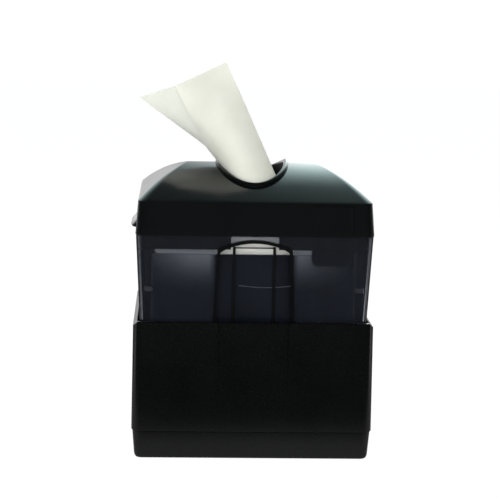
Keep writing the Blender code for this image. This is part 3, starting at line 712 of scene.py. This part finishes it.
def oval_ring(outset, height=None, above=0.0, steps=120):
    """The throat's oval, moved outwards, at one height or at a height above the roof."""
    points = []
    for step in range(steps):
        angle = 2 * pi * step / steps
        x = (THROAT_X + outset) * cos(angle)
        y = (THROAT_Y + outset) * sin(angle)
        z = roof_height(x, y) + above if height is None else height
        points.append(Vector((x, y, z)))
    return points


def arch_outline(outset=0.0, foot=ARCH_FOOT_Z, steps=40):
    """The arch as (x, z) points: leaning sides, small shoulders and a shallow crown."""
    foot_half = ARCH_FOOT_HALF + outset
    half = ARCH_SHOULDER_HALF + outset
    rise = ARCH_TOP_Z - ARCH_SHOULDER_Z
    crown = []
    for step in range(1, steps):
        x = half * cos(pi * step / steps)
        crown.append((x, ARCH_SHOULDER_Z + outset + rise * (1 - (x / half) ** 2) ** 0.8))
    right = [(foot_half, foot), (half, ARCH_SHOULDER_Z - 1.0 + outset)]
    left = [(-half, ARCH_SHOULDER_Z - 1.0 + outset), (-foot_half, foot)]
    return right + crown + left


def on_front_body(outline):
    """An (x, z) outline laid out on the body's leaning front, measured down from its top edge."""
    stretch = (1 + BODY_TAPER ** 2) ** 0.5
    return [(x, (z - BODY_TOP) * stretch) for x, z in outline]


BODY_LEAN = pi / 2 + atan(BODY_TAPER)
FRONT_BODY_TOP_Y = -(BODY_TOP_HALF - HALF_DEPTH_LESS)
CLIP_SKIN_Y = -(body_half(CLIP_Z) - HALF_DEPTH_LESS) + BODY_WALL - 0.4


# ---------------- base

def make_base_tray(look):
    foot_half, top_half, edge, wall = 94.1, 95.7, 1.6, 3.0
    profile = rounded_profile([
        (foot_half - edge, TRAY_BOTTOM, edge), (foot_half, TRAY_BOTTOM + 2.6, edge), (top_half, SEAM, 0.5),
        (top_half - wall, SEAM, 0.4), (91.3, TRAY_BOTTOM + wall, 0.8),
    ])
    mesh = wall_mesh("base_tray_moulding", profile, BASE_CORNER, closed=False)
    tray = piece("base_tray_moulding", mesh, look, "dispenser", ["base_tray"])
    for x, y in corner_places(*BASE_SCREWS):
        join(tray, cylinder_mesh("tray_boss", 4.4, 2.0, 7.5, x, y))
        cut(tray, cylinder_mesh("screw_seat", 3.3, 0.0, 4.6, x, y))
        cut(tray, cylinder_mesh("screw_way", 1.8, 4.0, 8.0, x, y))
    for x, y in corner_places(*FEET):
        cut(tray, cylinder_mesh("foot_seat", 7.4, 0.0, 2.2, x, y))
    settle(tray)
    soften_edges(tray, 0.2)


def make_base_housing(look):
    inner_top = HOUSING_TOP_HALF - HOUSING_WALL
    foot, ledge = SEAM + GAP, 29.6
    profile = rounded_profile([
        (HOUSING_HALF, foot, 0.5), (HOUSING_TOP_HALF, HOUSING_TOP, 0.9), (inner_top, HOUSING_TOP, 0.7),
        (HOUSING_HALF - HOUSING_WALL, ledge, 0.5), (LEDGE_HALF, ledge, 0.4), (LEDGE_HALF, foot, 0.3),
    ])
    mesh = wall_mesh("base_housing_moulding", profile, BASE_CORNER)
    housing = piece("base_housing_moulding", mesh, look, "dispenser", ["base_housing"])
    chamfer = 4.6
    edge_size = chamfer * 2 ** 0.5
    for side in (-1, 1):
        edge = box_mesh("side_chamfer", (edge_size, 170.0, edge_size))
        corner = (side * (HOUSING_TOP_HALF + 0.4), 0, HOUSING_TOP + 0.4)
        cut(housing, edge, corner, (0, pi / 4, 0))
    depth, height = 1.6, 40.0
    slope = (HOUSING_HALF - HOUSING_TOP_HALF) / (HOUSING_TOP - SEAM)
    lean = atan(depth / height) + slope
    tool_depth = 10.0
    wedge = box_mesh("front_recess", (2 * RECESS_HALF, tool_depth, 2 * height))
    face_y = -(HOUSING_HALF - HALF_DEPTH_LESS) + (HOUSING_TOP - SEAM - height) * slope
    cut(housing, wedge, (0, face_y - tool_depth / 2, HOUSING_TOP - height), (-lean, 0, 0))
    groove_width, groove_depth = 1.3, 1.1
    for side in (-1, 1):
        groove = box_mesh("recess_groove", (groove_width, tool_depth, 2 * height - 10.0))
        place = (side * (RECESS_HALF - groove_width / 2), face_y - tool_depth / 2 + groove_depth,
                 HOUSING_TOP - height + 5.0)
        cut(housing, groove, place, (-lean, 0, 0))
    for x, y in corner_places(*BASE_SCREWS):
        join(housing, cylinder_mesh("housing_boss", 4.0, 7.8, 28.6, x, y))
        cut(housing, cylinder_mesh("housing_pilot", 1.75, 7.0, 20.0, x, y))
    settle(housing)
    soften_edges(housing, 0.35, 3)


# ---------------- body, well and stack

def make_window_body(look):
    profile = rounded_profile([
        (body_half(BODY_BOTTOM), BODY_BOTTOM, 0.3), (BODY_TOP_HALF, BODY_TOP, 0.5),
        (BODY_TOP_HALF - BODY_WALL, BODY_TOP, 0.5),
        (body_half(BODY_BOTTOM) - BODY_WALL, BODY_BOTTOM, 0.3),
    ])
    mesh = wall_mesh("smoky_body", profile, 7.0, steps=14)
    body = piece("smoky_body", mesh, look, "dispenser", ["window_body"])
    opening = flat_outline("arch_opening", on_front_body(arch_outline(GAP, ARCH_FOOT_Z - GAP)), 24.0)
    cut(body, opening, (0, FRONT_BODY_TOP_Y, BODY_TOP), (BODY_LEAN, 0, 0))
    for middle in (-CLIP_X, CLIP_X):
        cut(body, span_box("clip_pocket", (middle - 3.6, middle + 3.6), (-80, CLIP_SKIN_Y),
                           (CLIP_Z - 2.1, CLIP_Z + 2.3), 0.6))
    for x in (-HINGE_X - 6, -HINGE_X + 6, HINGE_X - 6, HINGE_X + 6):
        way = cylinder_mesh("screw_way", 1.6, -6.0, 6.0)
        cut(body, way, (x, 72.9, 173.6), (pi / 2, 0, 0))
    settle(body)


def make_clip_tabs(look):
    """Small clips let into the pockets at the sides of the body's front wall, painted paler as painted light
    showing through the pockets.
    """
    for name, x in (("clip_tab_left", -CLIP_X), ("clip_tab_right", CLIP_X)):
        half_x, half_z, thickness = 3.2, 1.8, 1.1
        mesh = flat_outline(name, rounded_rectangle(half_x, half_z, 0.9, steps=5), thickness)
        placed(mesh, (x, CLIP_SKIN_Y - thickness / 2 - 0.05, CLIP_Z + 0.1), pi / 2)
        soften_edges(piece(name, mesh, look, "dispenser"), 0.2)


def make_arch_frame(look):
    outline = arch_outline() + arch_outline(-ARCH_RIM)[::-1]
    mesh = flat_outline("arch_trim", on_front_body(outline), ARCH_DEPTH)
    placed(mesh, (0, FRONT_BODY_TOP_Y - ARCH_PROUD + ARCH_DEPTH / 2, BODY_TOP), BODY_LEAN)
    trim = piece("arch_trim", mesh, look, "dispenser", ["arch_frame"])
    soften_edges(trim, 0.45, 3, angle=50)


def make_stack_guard(look):
    """Two upright posts behind the arch, with a thin bar across their tops and a wider one low down."""
    back = -(WELL_HALF_Y + GAP)
    half, post_x, top = 1.1, 16.0, 172.6
    posts = [span_box("guard_post", (x - half, x + half), (back - 2.0, back), (ARCH_FOOT_Z, top), 0.45)
             for x in (-post_x, post_x)]
    guard = piece("guard_posts", posts[0], look, "dispenser", ["stack_guard"])
    between = (-post_x, post_x)
    join(guard, span_box("guard_bar", between, (back - 1.5, back - 0.5), (top - 1.4, top - 0.4), 0.2))
    join(guard, span_box("guard_foot", between, (back - 1.5, back - 0.3), (98, 104), 0.2))
    join(guard, posts[1])
    settle(guard)


def make_napkin_well(look):
    rings = []
    sections = rounded_profile([
        (WELL_HALF_X, WELL_FLOOR, 1.5), (WELL_HALF_X, WELL_TOP, 0.6),
        (WELL_HALF_X - WELL_WALL, WELL_TOP, 0.6), (WELL_HALF_X - WELL_WALL, WELL_FLOOR + 2.2, 1.2),
    ])
    for half_x, z in sections:
        half_y = half_x - WELL_HALF_X + WELL_HALF_Y
        rings.append(level_ring(half_x, z, max(1.2, 5.0 - (WELL_HALF_X - half_x)), half_y))
    well = piece("napkin_tub", loft("napkin_tub", rings), look, "dispenser", ["napkin_well"])
    near, far = WELL_HALF_Y - WELL_WALL + 0.1, WELL_HALF_Y - 0.1
    flange = []
    for z in (FLANGE_LOW, LIP_BOTTOM - 1.0, LIP_BOTTOM, FLANGE_HIGH):
        room = body_half(z) - BODY_WALL
        if z >= LIP_BOTTOM:
            room = min(room, LIP_HALF - LIP_WALL)
        half = room - 2 * GAP
        corners = ((-half, near), (half, near), (half, far), (-half, far))
        flange.append([Vector((x, y, z)) for x, y in corners])
    join(well, loft("back_flange", flange))
    settle(well)
    soften_edges(well, 0.25, 2, angle=50)


def make_tub_bead(look):
    """A thin moulded line that sags across the front of the tub."""
    left, length, height, sag, thickness = -12.0, 43.0, 141.6, 1.6, 0.7
    bead = [(left + length * share, height - sag * sin(pi * share)) for share in evenly(24)]
    outline = bead + [(x, z - thickness) for x, z in reversed(bead)]
    mesh = placed(flat_outline("tub_bead", outline, thickness), (0, -WELL_HALF_Y - 0.25, 0), pi / 2)
    piece("tub_bead", mesh, look, "dispenser")


def make_napkin_stack(look):
    """A pile of folded napkins: thin rounded leaves, each a little out of line with the next."""
    rng = random.Random(7)
    size = STACK_HIGH - STACK_LOW
    half_x, half_y = size.x / 2, size.y / 2
    count = int(size.z / 0.9)
    leaf = size.z / count
    bm = bmesh.new()
    for number in range(count):
        base = STACK_LOW.z + number * leaf
        spread_x = half_x - 0.1 - 0.9 * rng.random() ** 2
        spread_y = half_y - 0.1 - 0.9 * rng.random() ** 2
        shift_x = (half_x - spread_x) * rng.uniform(-0.8, 0.8)
        shift_y = (half_y - spread_y) * rng.uniform(-0.8, 0.8)
        loops = []
        for inset, rise in ((0.42, 0.0), (0.0, 0.28), (0.0, 0.72), (0.42, 1.0)):
            ring = rounded_rectangle(spread_x - inset, spread_y - inset, 2.2, steps=3, side_x=14, side_y=12)
            loop = []
            for x, y in ring:
                wave = 0.22 * noise.noise(Vector((x * 0.05, y * 0.05, number * 0.31)))
                rise_here = min(max(rise + 0.4 * wave, 0.0), 1.0)
                swell = 1 + wave * 0.004
                loop.append(bm.verts.new((x * swell + shift_x, y * swell + shift_y, base + rise_here * leaf)))
            loops.append(loop)
        skin(bm, loops)
    mesh = mesh_of(bm, "folded_napkins")
    piece("folded_napkins", mesh, look, "lift", ["napkin_stack"], angle=70)


def make_platform(look):
    """The plate that carries the stack, with a skirt round its edge."""
    half_x, half_y, top = PLATFORM_HIGH
    low, wall, thickness = PLATFORM_LOW.z, 2.0, 2.5
    rings = []
    for half, z in rounded_profile([
        (half_x - wall, top - thickness, 0.5), (half_x - wall, low, 0.3),
        (half_x, low, 0.3), (half_x, top, 0.8),
    ]):
        inset = half_x - half
        rings.append(level_ring(half, z, max(1.5, 4.0 - inset), half_y - inset))
    piece("lift_plate", loft("lift_plate", rings), look, "lift", ["lift_platform"])


def spring_mesh(name, start, along, across, length, radius, wire, turns, steps=28):
    """A compression spring with closed end turns, as a round wire swept along its helix."""
    along, across = Vector(along), Vector(across)
    third = along.cross(across)
    curve = bpy.data.curves.new(name, "CURVE")
    curve.dimensions = "3D"
    curve.bevel_depth = wire * MM
    curve.bevel_resolution = 3
    curve.use_fill_caps = True
    spline = curve.splines.new("POLY")
    count = int(turns * steps)
    spline.points.add(count)
    for step in range(count + 1):
        angle = 2 * pi * step / steps
        share = step / count
        flat = 0.5 - 0.5 * cos(pi * share)
        rise = wire + (length - 2 * wire) * (0.35 * flat + 0.65 * share)
        turn = across * cos(angle) + third * sin(angle)
        spline.points[step].co = (*((Vector(start) + along * rise + turn * radius) * MM), 1)
    return mesh_from_curve(curve)


def make_springs(look):
    for name in ("lift_spring_left", "lift_spring_right"):
        low, high = lowest(name), highest(name)
        start = ((low.x + high.x) / 2, 0, low.z)
        mesh = spring_mesh(name + "_wire", start, (0, 0, 1), (1, 0, 0), high.z - low.z, 11.0, 0.8, 7)
        spring = piece(name + "_wire", mesh, look, "dispenser", [name])
        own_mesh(spring)
    low, high = lowest("latch_spring"), highest("latch_spring")
    start = (LATCH_X, low.y, (low.z + high.z) / 2)
    mesh = spring_mesh("latch_spring_wire", start, (0, 1, 0), (1, 0, 0), high.y - low.y, 2.6, 0.35, 6)
    spring = piece("latch_spring_wire", mesh, look, "lid", ["latch_spring"])
    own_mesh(spring)


# ---------------- lid

def finger_tab(side):
    """A flared lip at the foot of the skirt's side, to lift the lid by."""
    root = skirt_half(TAB_TOP) - 0.8
    foot = SKIRT_BOTTOM + 0.2
    blunt = 0.9
    rings = []
    for along in evenly(24):
        share = cos(pi * (1 - along))
        reach = (TAB_REACH - root) * max(0.12, (1 - abs(share) ** 6) ** 0.5)
        y = share * TAB_HALF
        ring = []
        for drop in evenly(10):
            z = TAB_TOP + (foot + blunt - TAB_TOP) * drop
            ring.append(Vector((side * (root + reach * drop ** 1.3), y, z)))
        ring.append(Vector((side * (root + reach - blunt * 0.7), y, foot)))
        ring.append(Vector((side * (SKIRT_BOTTOM_HALF - 1.6), y, foot)))
        rings.append(ring)
    return loft("finger_tab", rings)


def latch_placement(depth):
    """Place and turn of something let into the leaning front skirt, `depth` behind its face."""
    slope = (SKIRT_BOTTOM_HALF - CREASE_HALF) / (CREASE - SKIRT_BOTTOM)
    y = -(skirt_half(LATCH_Z) - HALF_DEPTH_LESS) + depth
    return (LATCH_X, y, LATCH_Z), (-atan(slope), 0, 0)


def make_lid_shell(look):
    steps = 26
    edge = 1.1
    detail = {"steps": 12}
    outer = [level_ring(SKIRT_BOTTOM_HALF - 0.35, SKIRT_BOTTOM, LID_CORNER - 0.35, **detail)]
    outer.append(level_ring(skirt_half(SKIRT_BOTTOM + 0.4), SKIRT_BOTTOM + 0.4, LID_CORNER, **detail))
    for share in evenly(5):
        z = CREASE - edge * (1 - share) ** 2
        outer.append(level_ring(skirt_half(z) - 0.25 * share ** 2, z, LID_CORNER, **detail))
    shares = [0.015] + [0.985 * step / steps for step in range(1, steps + 1)]
    outer += [roof_ring(share, **detail) for share in shares]
    inner_shares = [0.93 * step / steps for step in range(steps, -1, -1)]
    inner = [roof_ring(share, LID_WALL, LID_WALL, **detail) for share in inner_shares]
    inner.append(level_ring(SKIRT_BOTTOM_HALF - LID_WALL, SKIRT_BOTTOM, LID_CORNER - LID_WALL, **detail))
    mesh = loft("lid_moulding", outer[::-1] + inner[::-1])
    lid = piece("lid_moulding", mesh, look, "lid", ["lid_shell"])
    cut(lid, loft("throat_hole", [oval_ring(0.0, height) for height in (190.0, 250.0)]))
    for x, y in corner_places(*LID_SCREWS):
        join(lid, cylinder_mesh("lid_boss", 3.0, PLATE_TOP + GAP, 212.5, x, y))
        cut(lid, cylinder_mesh("lid_pilot", 1.7, PLATE_TOP, 200.0, x, y))
    window = box_mesh("latch_window", (2 * LATCH_HALF + GAP, 12.0, 2 * LATCH_HALF_Z + GAP))
    cut(lid, window, *latch_placement(3.0))
    for side in (-1, 1):
        x = side * HINGE_X
        join(lid, finger_tab(side))
        join(lid, span_box("knuckle_web", (x - KNUCKLE_HALF, x + KNUCKLE_HALF), (74.4, HINGE_Y + 0.5),
                           (SKIRT_BOTTOM + 0.1, 187.0), 0.4))
        barrel = cylinder_mesh("knuckle", BARREL, -KNUCKLE_HALF, KNUCKLE_HALF)
        join(lid, barrel, (x, HINGE_Y, HINGE_Z), (0, pi / 2, 0))
    for x in (-HINGE_X, HINGE_X):
        bore = cylinder_mesh("knuckle_bore", PIN_RADIUS + GAP, -9.0, 9.0)
        cut(lid, bore, (x, HINGE_Y, HINGE_Z), (0, pi / 2, 0))
    settle(lid, angle=24)
    even_shading(lid)


def make_throat_collar(look, lining):
    """A raised bead round the throat; the lining takes the faces that look into it."""
    section = [
        (1.8, GAP), (1.95, 1.0), (1.8, 1.7), (1.3, 2.4), (0.6, 2.9), (-0.3, 3.1), (-1.0, 2.9),
        (-1.6, 2.4), (-2.0, 1.6), (-2.2, 0.6), (-2.4, -2.0), (-2.6, -9.0), (-1.2, -9.0),
        (-0.6, -3.0), (-0.6, GAP),
    ]
    rings = [oval_ring(outset, above=above) for outset, above in section]
    mesh = loft("collar_bead", rings, closed=True)
    collar = piece("collar_bead", mesh, look, "lid", ["throat_collar"], angle=50)
    collar.data.materials.append(lining)
    for face in collar.data.polygons:
        x, y, z = face.center / MM
        if (x / THROAT_X) ** 2 + (y / THROAT_Y) ** 2 < 1 and z < roof_height(x, y) + 0.2:
            face.material_index = 1


def make_lid_inner_frame(look):
    """The plate under the roof and the lip that hangs from it inside the body's rim."""
    plate_half = SKIRT_BOTTOM_HALF - LID_WALL - 0.7
    low, edge = SKIRT_BOTTOM + GAP, 0.4
    inside = LIP_HALF - LIP_WALL
    rings = [level_ring(*ring) for ring in (
        (plate_half, PLATE_TOP, 4.0), (plate_half, low, 4.0),
        (LIP_HALF, low, 4.0), (LIP_HALF, LIP_BOTTOM + edge, 4.0), (LIP_HALF - edge, LIP_BOTTOM, 3.6),
        (inside + edge, LIP_BOTTOM, 2.4), (inside, LIP_BOTTOM + edge, 2.0), (inside, PLATE_BOTTOM, 2.0),
    )]
    plate = piece("lid_plate", loft("lid_plate", rings), look, "lid", ["lid_inner_frame"])
    cut(plate, loft("plate_slot", [oval_ring(4.6, height, steps=72) for height in (176.0, 190.0)]))
    cut(plate, span_box("front_notch", (-19, 19), (-74, -66), (165.0, 181.0), 1.0))
    for x, y in corner_places(*LID_SCREWS):
        cut(plate, cylinder_mesh("frame_hole", 1.9, 178.0, 188.0, x, y))
    cut(plate, span_box("hook_way", (HOOK_LOW.x - 0.8, HOOK_HIGH.x + 0.8),
                        (HOOK_LOW.y - 0.35, HOOK_HIGH.y + 3.0), (178.0, 188.0)))
    join(plate, span_box("spring_seat", (LATCH_X - 7, LATCH_X + 7), (-57.4, -55.0),
                         (PLATE_TOP - 1, HOOK_HIGH.z), 0.4))
    settle(plate)
    soften_edges(plate, 0.2, 2, angle=50)


# ---------------- latch

def make_latch_button(look):
    """A thin pad with three flattened upright ribs, and a stem behind it."""
    thickness, rib_pitch, rib_half, rib_proud = 2.4, 10.8, 3.2, 0.9
    place, turn = latch_placement(thickness / 2)
    pad = box_mesh("push_button", (2 * LATCH_HALF, thickness, 2 * LATCH_HALF_Z), 0.25)
    pad = placed(pad, place, turn[0])
    button = piece("push_button", pad, look, "latch", ["latch_button"])
    for middle in (-rib_pitch, 0, rib_pitch):
        rib = cylinder_mesh("grip_rib", rib_half, -9.0, 9.0)
        rib.transform(Matrix.Diagonal((1, rib_proud / rib_half, 1, 1)))
        join(button, placed(placed(rib, (middle, -thickness / 2, 0)), place, turn[0]))
    join(button, placed(span_box("button_stem", (-6, 6), (0, 3.6), (-5, 3), 0.3), place, turn[0]))
    settle(button)


def make_latch_hook(look):
    """A flat block whose two lower corners are rounded."""
    half = (HOOK_HIGH.x - HOOK_LOW.x) / 2
    corner = 5.0
    outline = [(half, HOOK_HIGH.z), (-half, HOOK_HIGH.z)]
    for side, start in ((-1, pi), (1, 1.5 * pi)):
        for share in evenly(10):
            angle = start + share * pi / 2
            outline.append((side * (half - corner) + corner * cos(angle),
                            HOOK_LOW.z + corner + corner * sin(angle)))
    mesh = flat_outline("hook_tab", outline, HOOK_HIGH.y - HOOK_LOW.y)
    placed(mesh, (LATCH_X, (HOOK_LOW.y + HOOK_HIGH.y) / 2, 0), pi / 2)
    hook = piece("hook_tab", mesh, look, "latch", ["latch_hook"])
    soften_edges(hook, 0.4, 3)


# ---------------- the drawn napkin

def throat_arc(share, layer):
    """A point on the napkin's line round the inside of the throat, from its right end to its left."""
    start, end = radians(-42), radians(-155)
    angle = start + (end - start) * share
    inset = 3.4 if layer == "front" else 4.6
    return Vector(((THROAT_X - inset) * cos(angle), (THROAT_Y - inset) * sin(angle), 0))


NAPKIN_RIGHT = Vector((-22.2, 2.0, 315.2))
NAPKIN_CREASE = Vector((-64.0, 8.0, 294.9))
NAPKIN_TIP = Vector((-94.4, 40.0, 283.2))
NAPKIN_WAIST = 0.78
NAPKIN_KINK = {"front": Vector((-39.4, -2.0, 246.8)), "back": Vector((-37.2, 9.0, 244.9))}


def napkin_top(share, layer):
    """A point on the napkin's top edge, from the right corner towards the left tip."""
    if layer == "front":
        return NAPKIN_RIGHT.lerp(NAPKIN_CREASE, share)
    behind = NAPKIN_CREASE + Vector((0, 1.4, 0))
    bend = 0.55
    if share < bend:
        return NAPKIN_RIGHT.lerp(behind, share / bend)
    return behind.lerp(NAPKIN_TIP, (share - bend) / (1 - bend))


def bent(start, corner, end, at, share, rounding=0.10):
    """A path from start to end by way of a corner reached at share `at`, with the corner rounded."""
    if share < at - rounding:
        return start.lerp(corner, share / at)
    if share > at + rounding:
        return corner.lerp(end, (share - at) / (1 - at))
    before = start.lerp(corner, (at - rounding) / at)
    after = corner.lerp(end, rounding / (1 - at))
    t = (share - at + rounding) / (2 * rounding)
    return before * (1 - t) ** 2 + corner * 2 * t * (1 - t) + after * t ** 2


def napkin_foot(share, layer):
    foot = throat_arc(share * (0.94 if layer == "front" else 1.0), layer)
    foot.z = roof_height(foot.x, foot.y) - 1.0
    return foot


def napkin_point(share, fall, layer):
    """A point of one layer: share 0 to 1 across, fall 0 at the top edge and 1 at the throat."""
    kink = NAPKIN_KINK[layer] - napkin_top(1, layer).lerp(napkin_foot(1, layer), NAPKIN_WAIST)
    top, foot = napkin_top(share, layer), napkin_foot(share, layer)
    waist = top.lerp(foot, NAPKIN_WAIST) + kink * share ** 3
    point = bent(top, waist, foot, NAPKIN_WAIST, fall)
    belly = sin(pi * fall)
    if layer == "front":
        point.y -= 4.0 * belly * (0.3 + sin(pi * min(share, 0.6))) + (1.1 + 4.0 * share) * (1 - fall) ** 0.5
    else:
        point.y -= 0.8 * belly
    ripple = noise.noise(Vector((share * 2.2, fall * 2.6, 3.0 if layer == "front" else 7.0)))
    point.y += (1.6 * ripple + 0.11 * sin(share * 46 * pi) * sin(fall * 52 * pi)) * belly
    return point


def napkin_tail_point(share, fall, layer):
    """A point below the throat: down to the stack, back along its top, then folded forwards again."""
    foot = napkin_foot(share, layer)
    rest = 182.7 if layer == "front" else 183.8
    down, along = 0.38, 0.84
    x, near = foot.x * 0.88, foot.y * 0.86
    far = 44.0 * (1 - (x / 24.5) ** 2) ** 0.5
    pleat = 0.9 * sin(share * 16 * pi)
    if fall < down:
        drop = fall / down
        z = foot.z + (rest - foot.z) * sin(drop * pi / 2)
        return Vector((foot.x * (1 - 0.12 * drop), foot.y * (1 - 0.14 * drop), z + pleat * drop * drop))
    if fall < along:
        slide = (fall - down) / (along - down)
        return Vector((x, near + (far - near) * slide, rest + pleat))
    back = (fall - along) / (1 - along)
    lift = 3.4 * sin(min(back * 4, 1) * pi / 2)
    return Vector((x, far - 29.0 * back, rest + lift + pleat))


def make_napkin(look):
    """One sheet folded at its right edge, fanned at the top and gathered round the throat's front."""
    across, down, below = 70, 110, 36
    bm = bmesh.new()
    layers = []
    for layer in ("front", "back"):
        rows = [[napkin_point(share, fall, layer) for share in evenly(across)] for fall in evenly(down)]
        rows += [[napkin_tail_point(share, fall, layer) for share in evenly(across)]
                 for fall in evenly(below)[1:]]
        rows = [[bm.verts.new(point) for point in row] for row in rows]
        for upper, lower in zip(rows, rows[1:]):
            for col in range(across):
                bm.faces.new((upper[col], upper[col + 1], lower[col + 1], lower[col]))
        layers.append(rows)
    front, back = layers
    for row in range(down + below):
        bm.faces.new((front[row][0], front[row + 1][0], back[row + 1][0], back[row][0]))
    napkin = piece("drawn_napkin", mesh_of(bm, "drawn_napkin"), look, "napkin",
                   ["napkin_popup"], angle=80)


# ---------------- carried-over pieces

def dress(look, *nodes):
    """Gives CAD nodes whose shape is right a finished material."""
    for node in nodes:
        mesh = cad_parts[node].data
        mesh.materials.clear()
        mesh.materials.append(look)
        shade(mesh)


def screw_mesh(name, shank, head, head_height, length):
    """A pan-head screw without its cross recess, its point along +Z."""
    angles = [radians(20 * step) for step in range(5)]
    dome = [(head * sin(angle), head_height * (1 - cos(angle))) for angle in angles]
    body = [(head, head_height), (shank, head_height), (shank, length - 1.2), (0.25, length), (0.0, length)]
    return turned_mesh(name, (dome + body)[::-1])


def make_screws(look):
    # Shank radius, head radius, head height and length of each kind.
    sizes = {
        "base_screw": (1.4, 2.9, 2.0, 16.0), "lid_screw": (1.4, 2.9, 2.0, 17.0),
        "hinge_screw": (1.2, 2.4, 1.4, 6.4),
    }
    for prefix, size in sizes.items():
        for node in [f"{prefix}_{number}" for number in range(1, 5)]:
            low, high = lowest(node), highest(node)
            middle = (low + high) / 2
            place, turn = (middle.x, middle.y, low.z), 0.0
            if prefix == "hinge_screw":
                place, turn = (middle.x, high.y, middle.z), pi / 2
            mesh = placed(screw_mesh(node + "_steel", *size), place, turn)
            body = "lid" if prefix == "lid_screw" else "dispenser"
            screw = piece(node + "_steel", mesh, look, body, [node])
            for recess in ((2.9, 0.6, 1.6), (0.6, 2.9, 1.6)):
                cut(screw, placed(box_mesh("cross_slot", recess), place, turn))
            settle(screw)


def main():
    make_camera()
    make_lighting()
    make_stage()
    gloss = black_plastic()
    base = textured_black_plastic("black_base_plastic_fine", 0.28, (0.0022, 0.0027, 0.0024))
    inner = textured_black_plastic("black_inner_plastic", 0.42, (0.0042, 0.0044, 0.0044))
    lining = textured_black_plastic("black_lining_plastic", 0.6, (0.0030, 0.0033, 0.0034),
                                    Specular_IOR_Level=0.1)
    smoke = smoke_plastic()
    tub = tub_plastic()
    plated = steel("plated_steel", (0.55, 0.55, 0.56), 0.32, (1, 1, 6))
    wire = steel("spring_wire", (0.42, 0.42, 0.43), 0.28, (6, 6, 1))
    make_base_tray(base)
    make_base_housing(base)
    make_window_body(smoke)
    make_arch_frame(gloss)
    make_stack_guard(inner)
    make_napkin_well(tub)
    # The bead is painted much lighter than the tub, as a painted highlight along its curve.
    make_tub_bead(textured_black_plastic("bead_plastic_painted_highlight", 0.3, (0.038, 0.042, 0.052)))
    # The clip tabs are painted paler, as painted light showing through the pockets.
    make_clip_tabs(textured_black_plastic("clip_plastic_painted_light", 0.35, (0.017, 0.019, 0.026)))
    make_napkin_stack(stack_paper())
    make_platform(inner)
    make_springs(wire)
    make_lid_shell(gloss)
    make_throat_collar(gloss, lining)
    make_lid_inner_frame(inner)
    make_latch_button(gloss)
    make_latch_hook(inner)
    make_napkin(paper())
    make_screws(plated)
    dress(plated, "ballast_plate", "hinge_pin_left", "hinge_pin_right")
    dress(gloss, "hinge_bracket_left", "hinge_bracket_right")
    dress(rubber(), *[f"foot_pad_{number}" for number in range(1, 5)])


main()
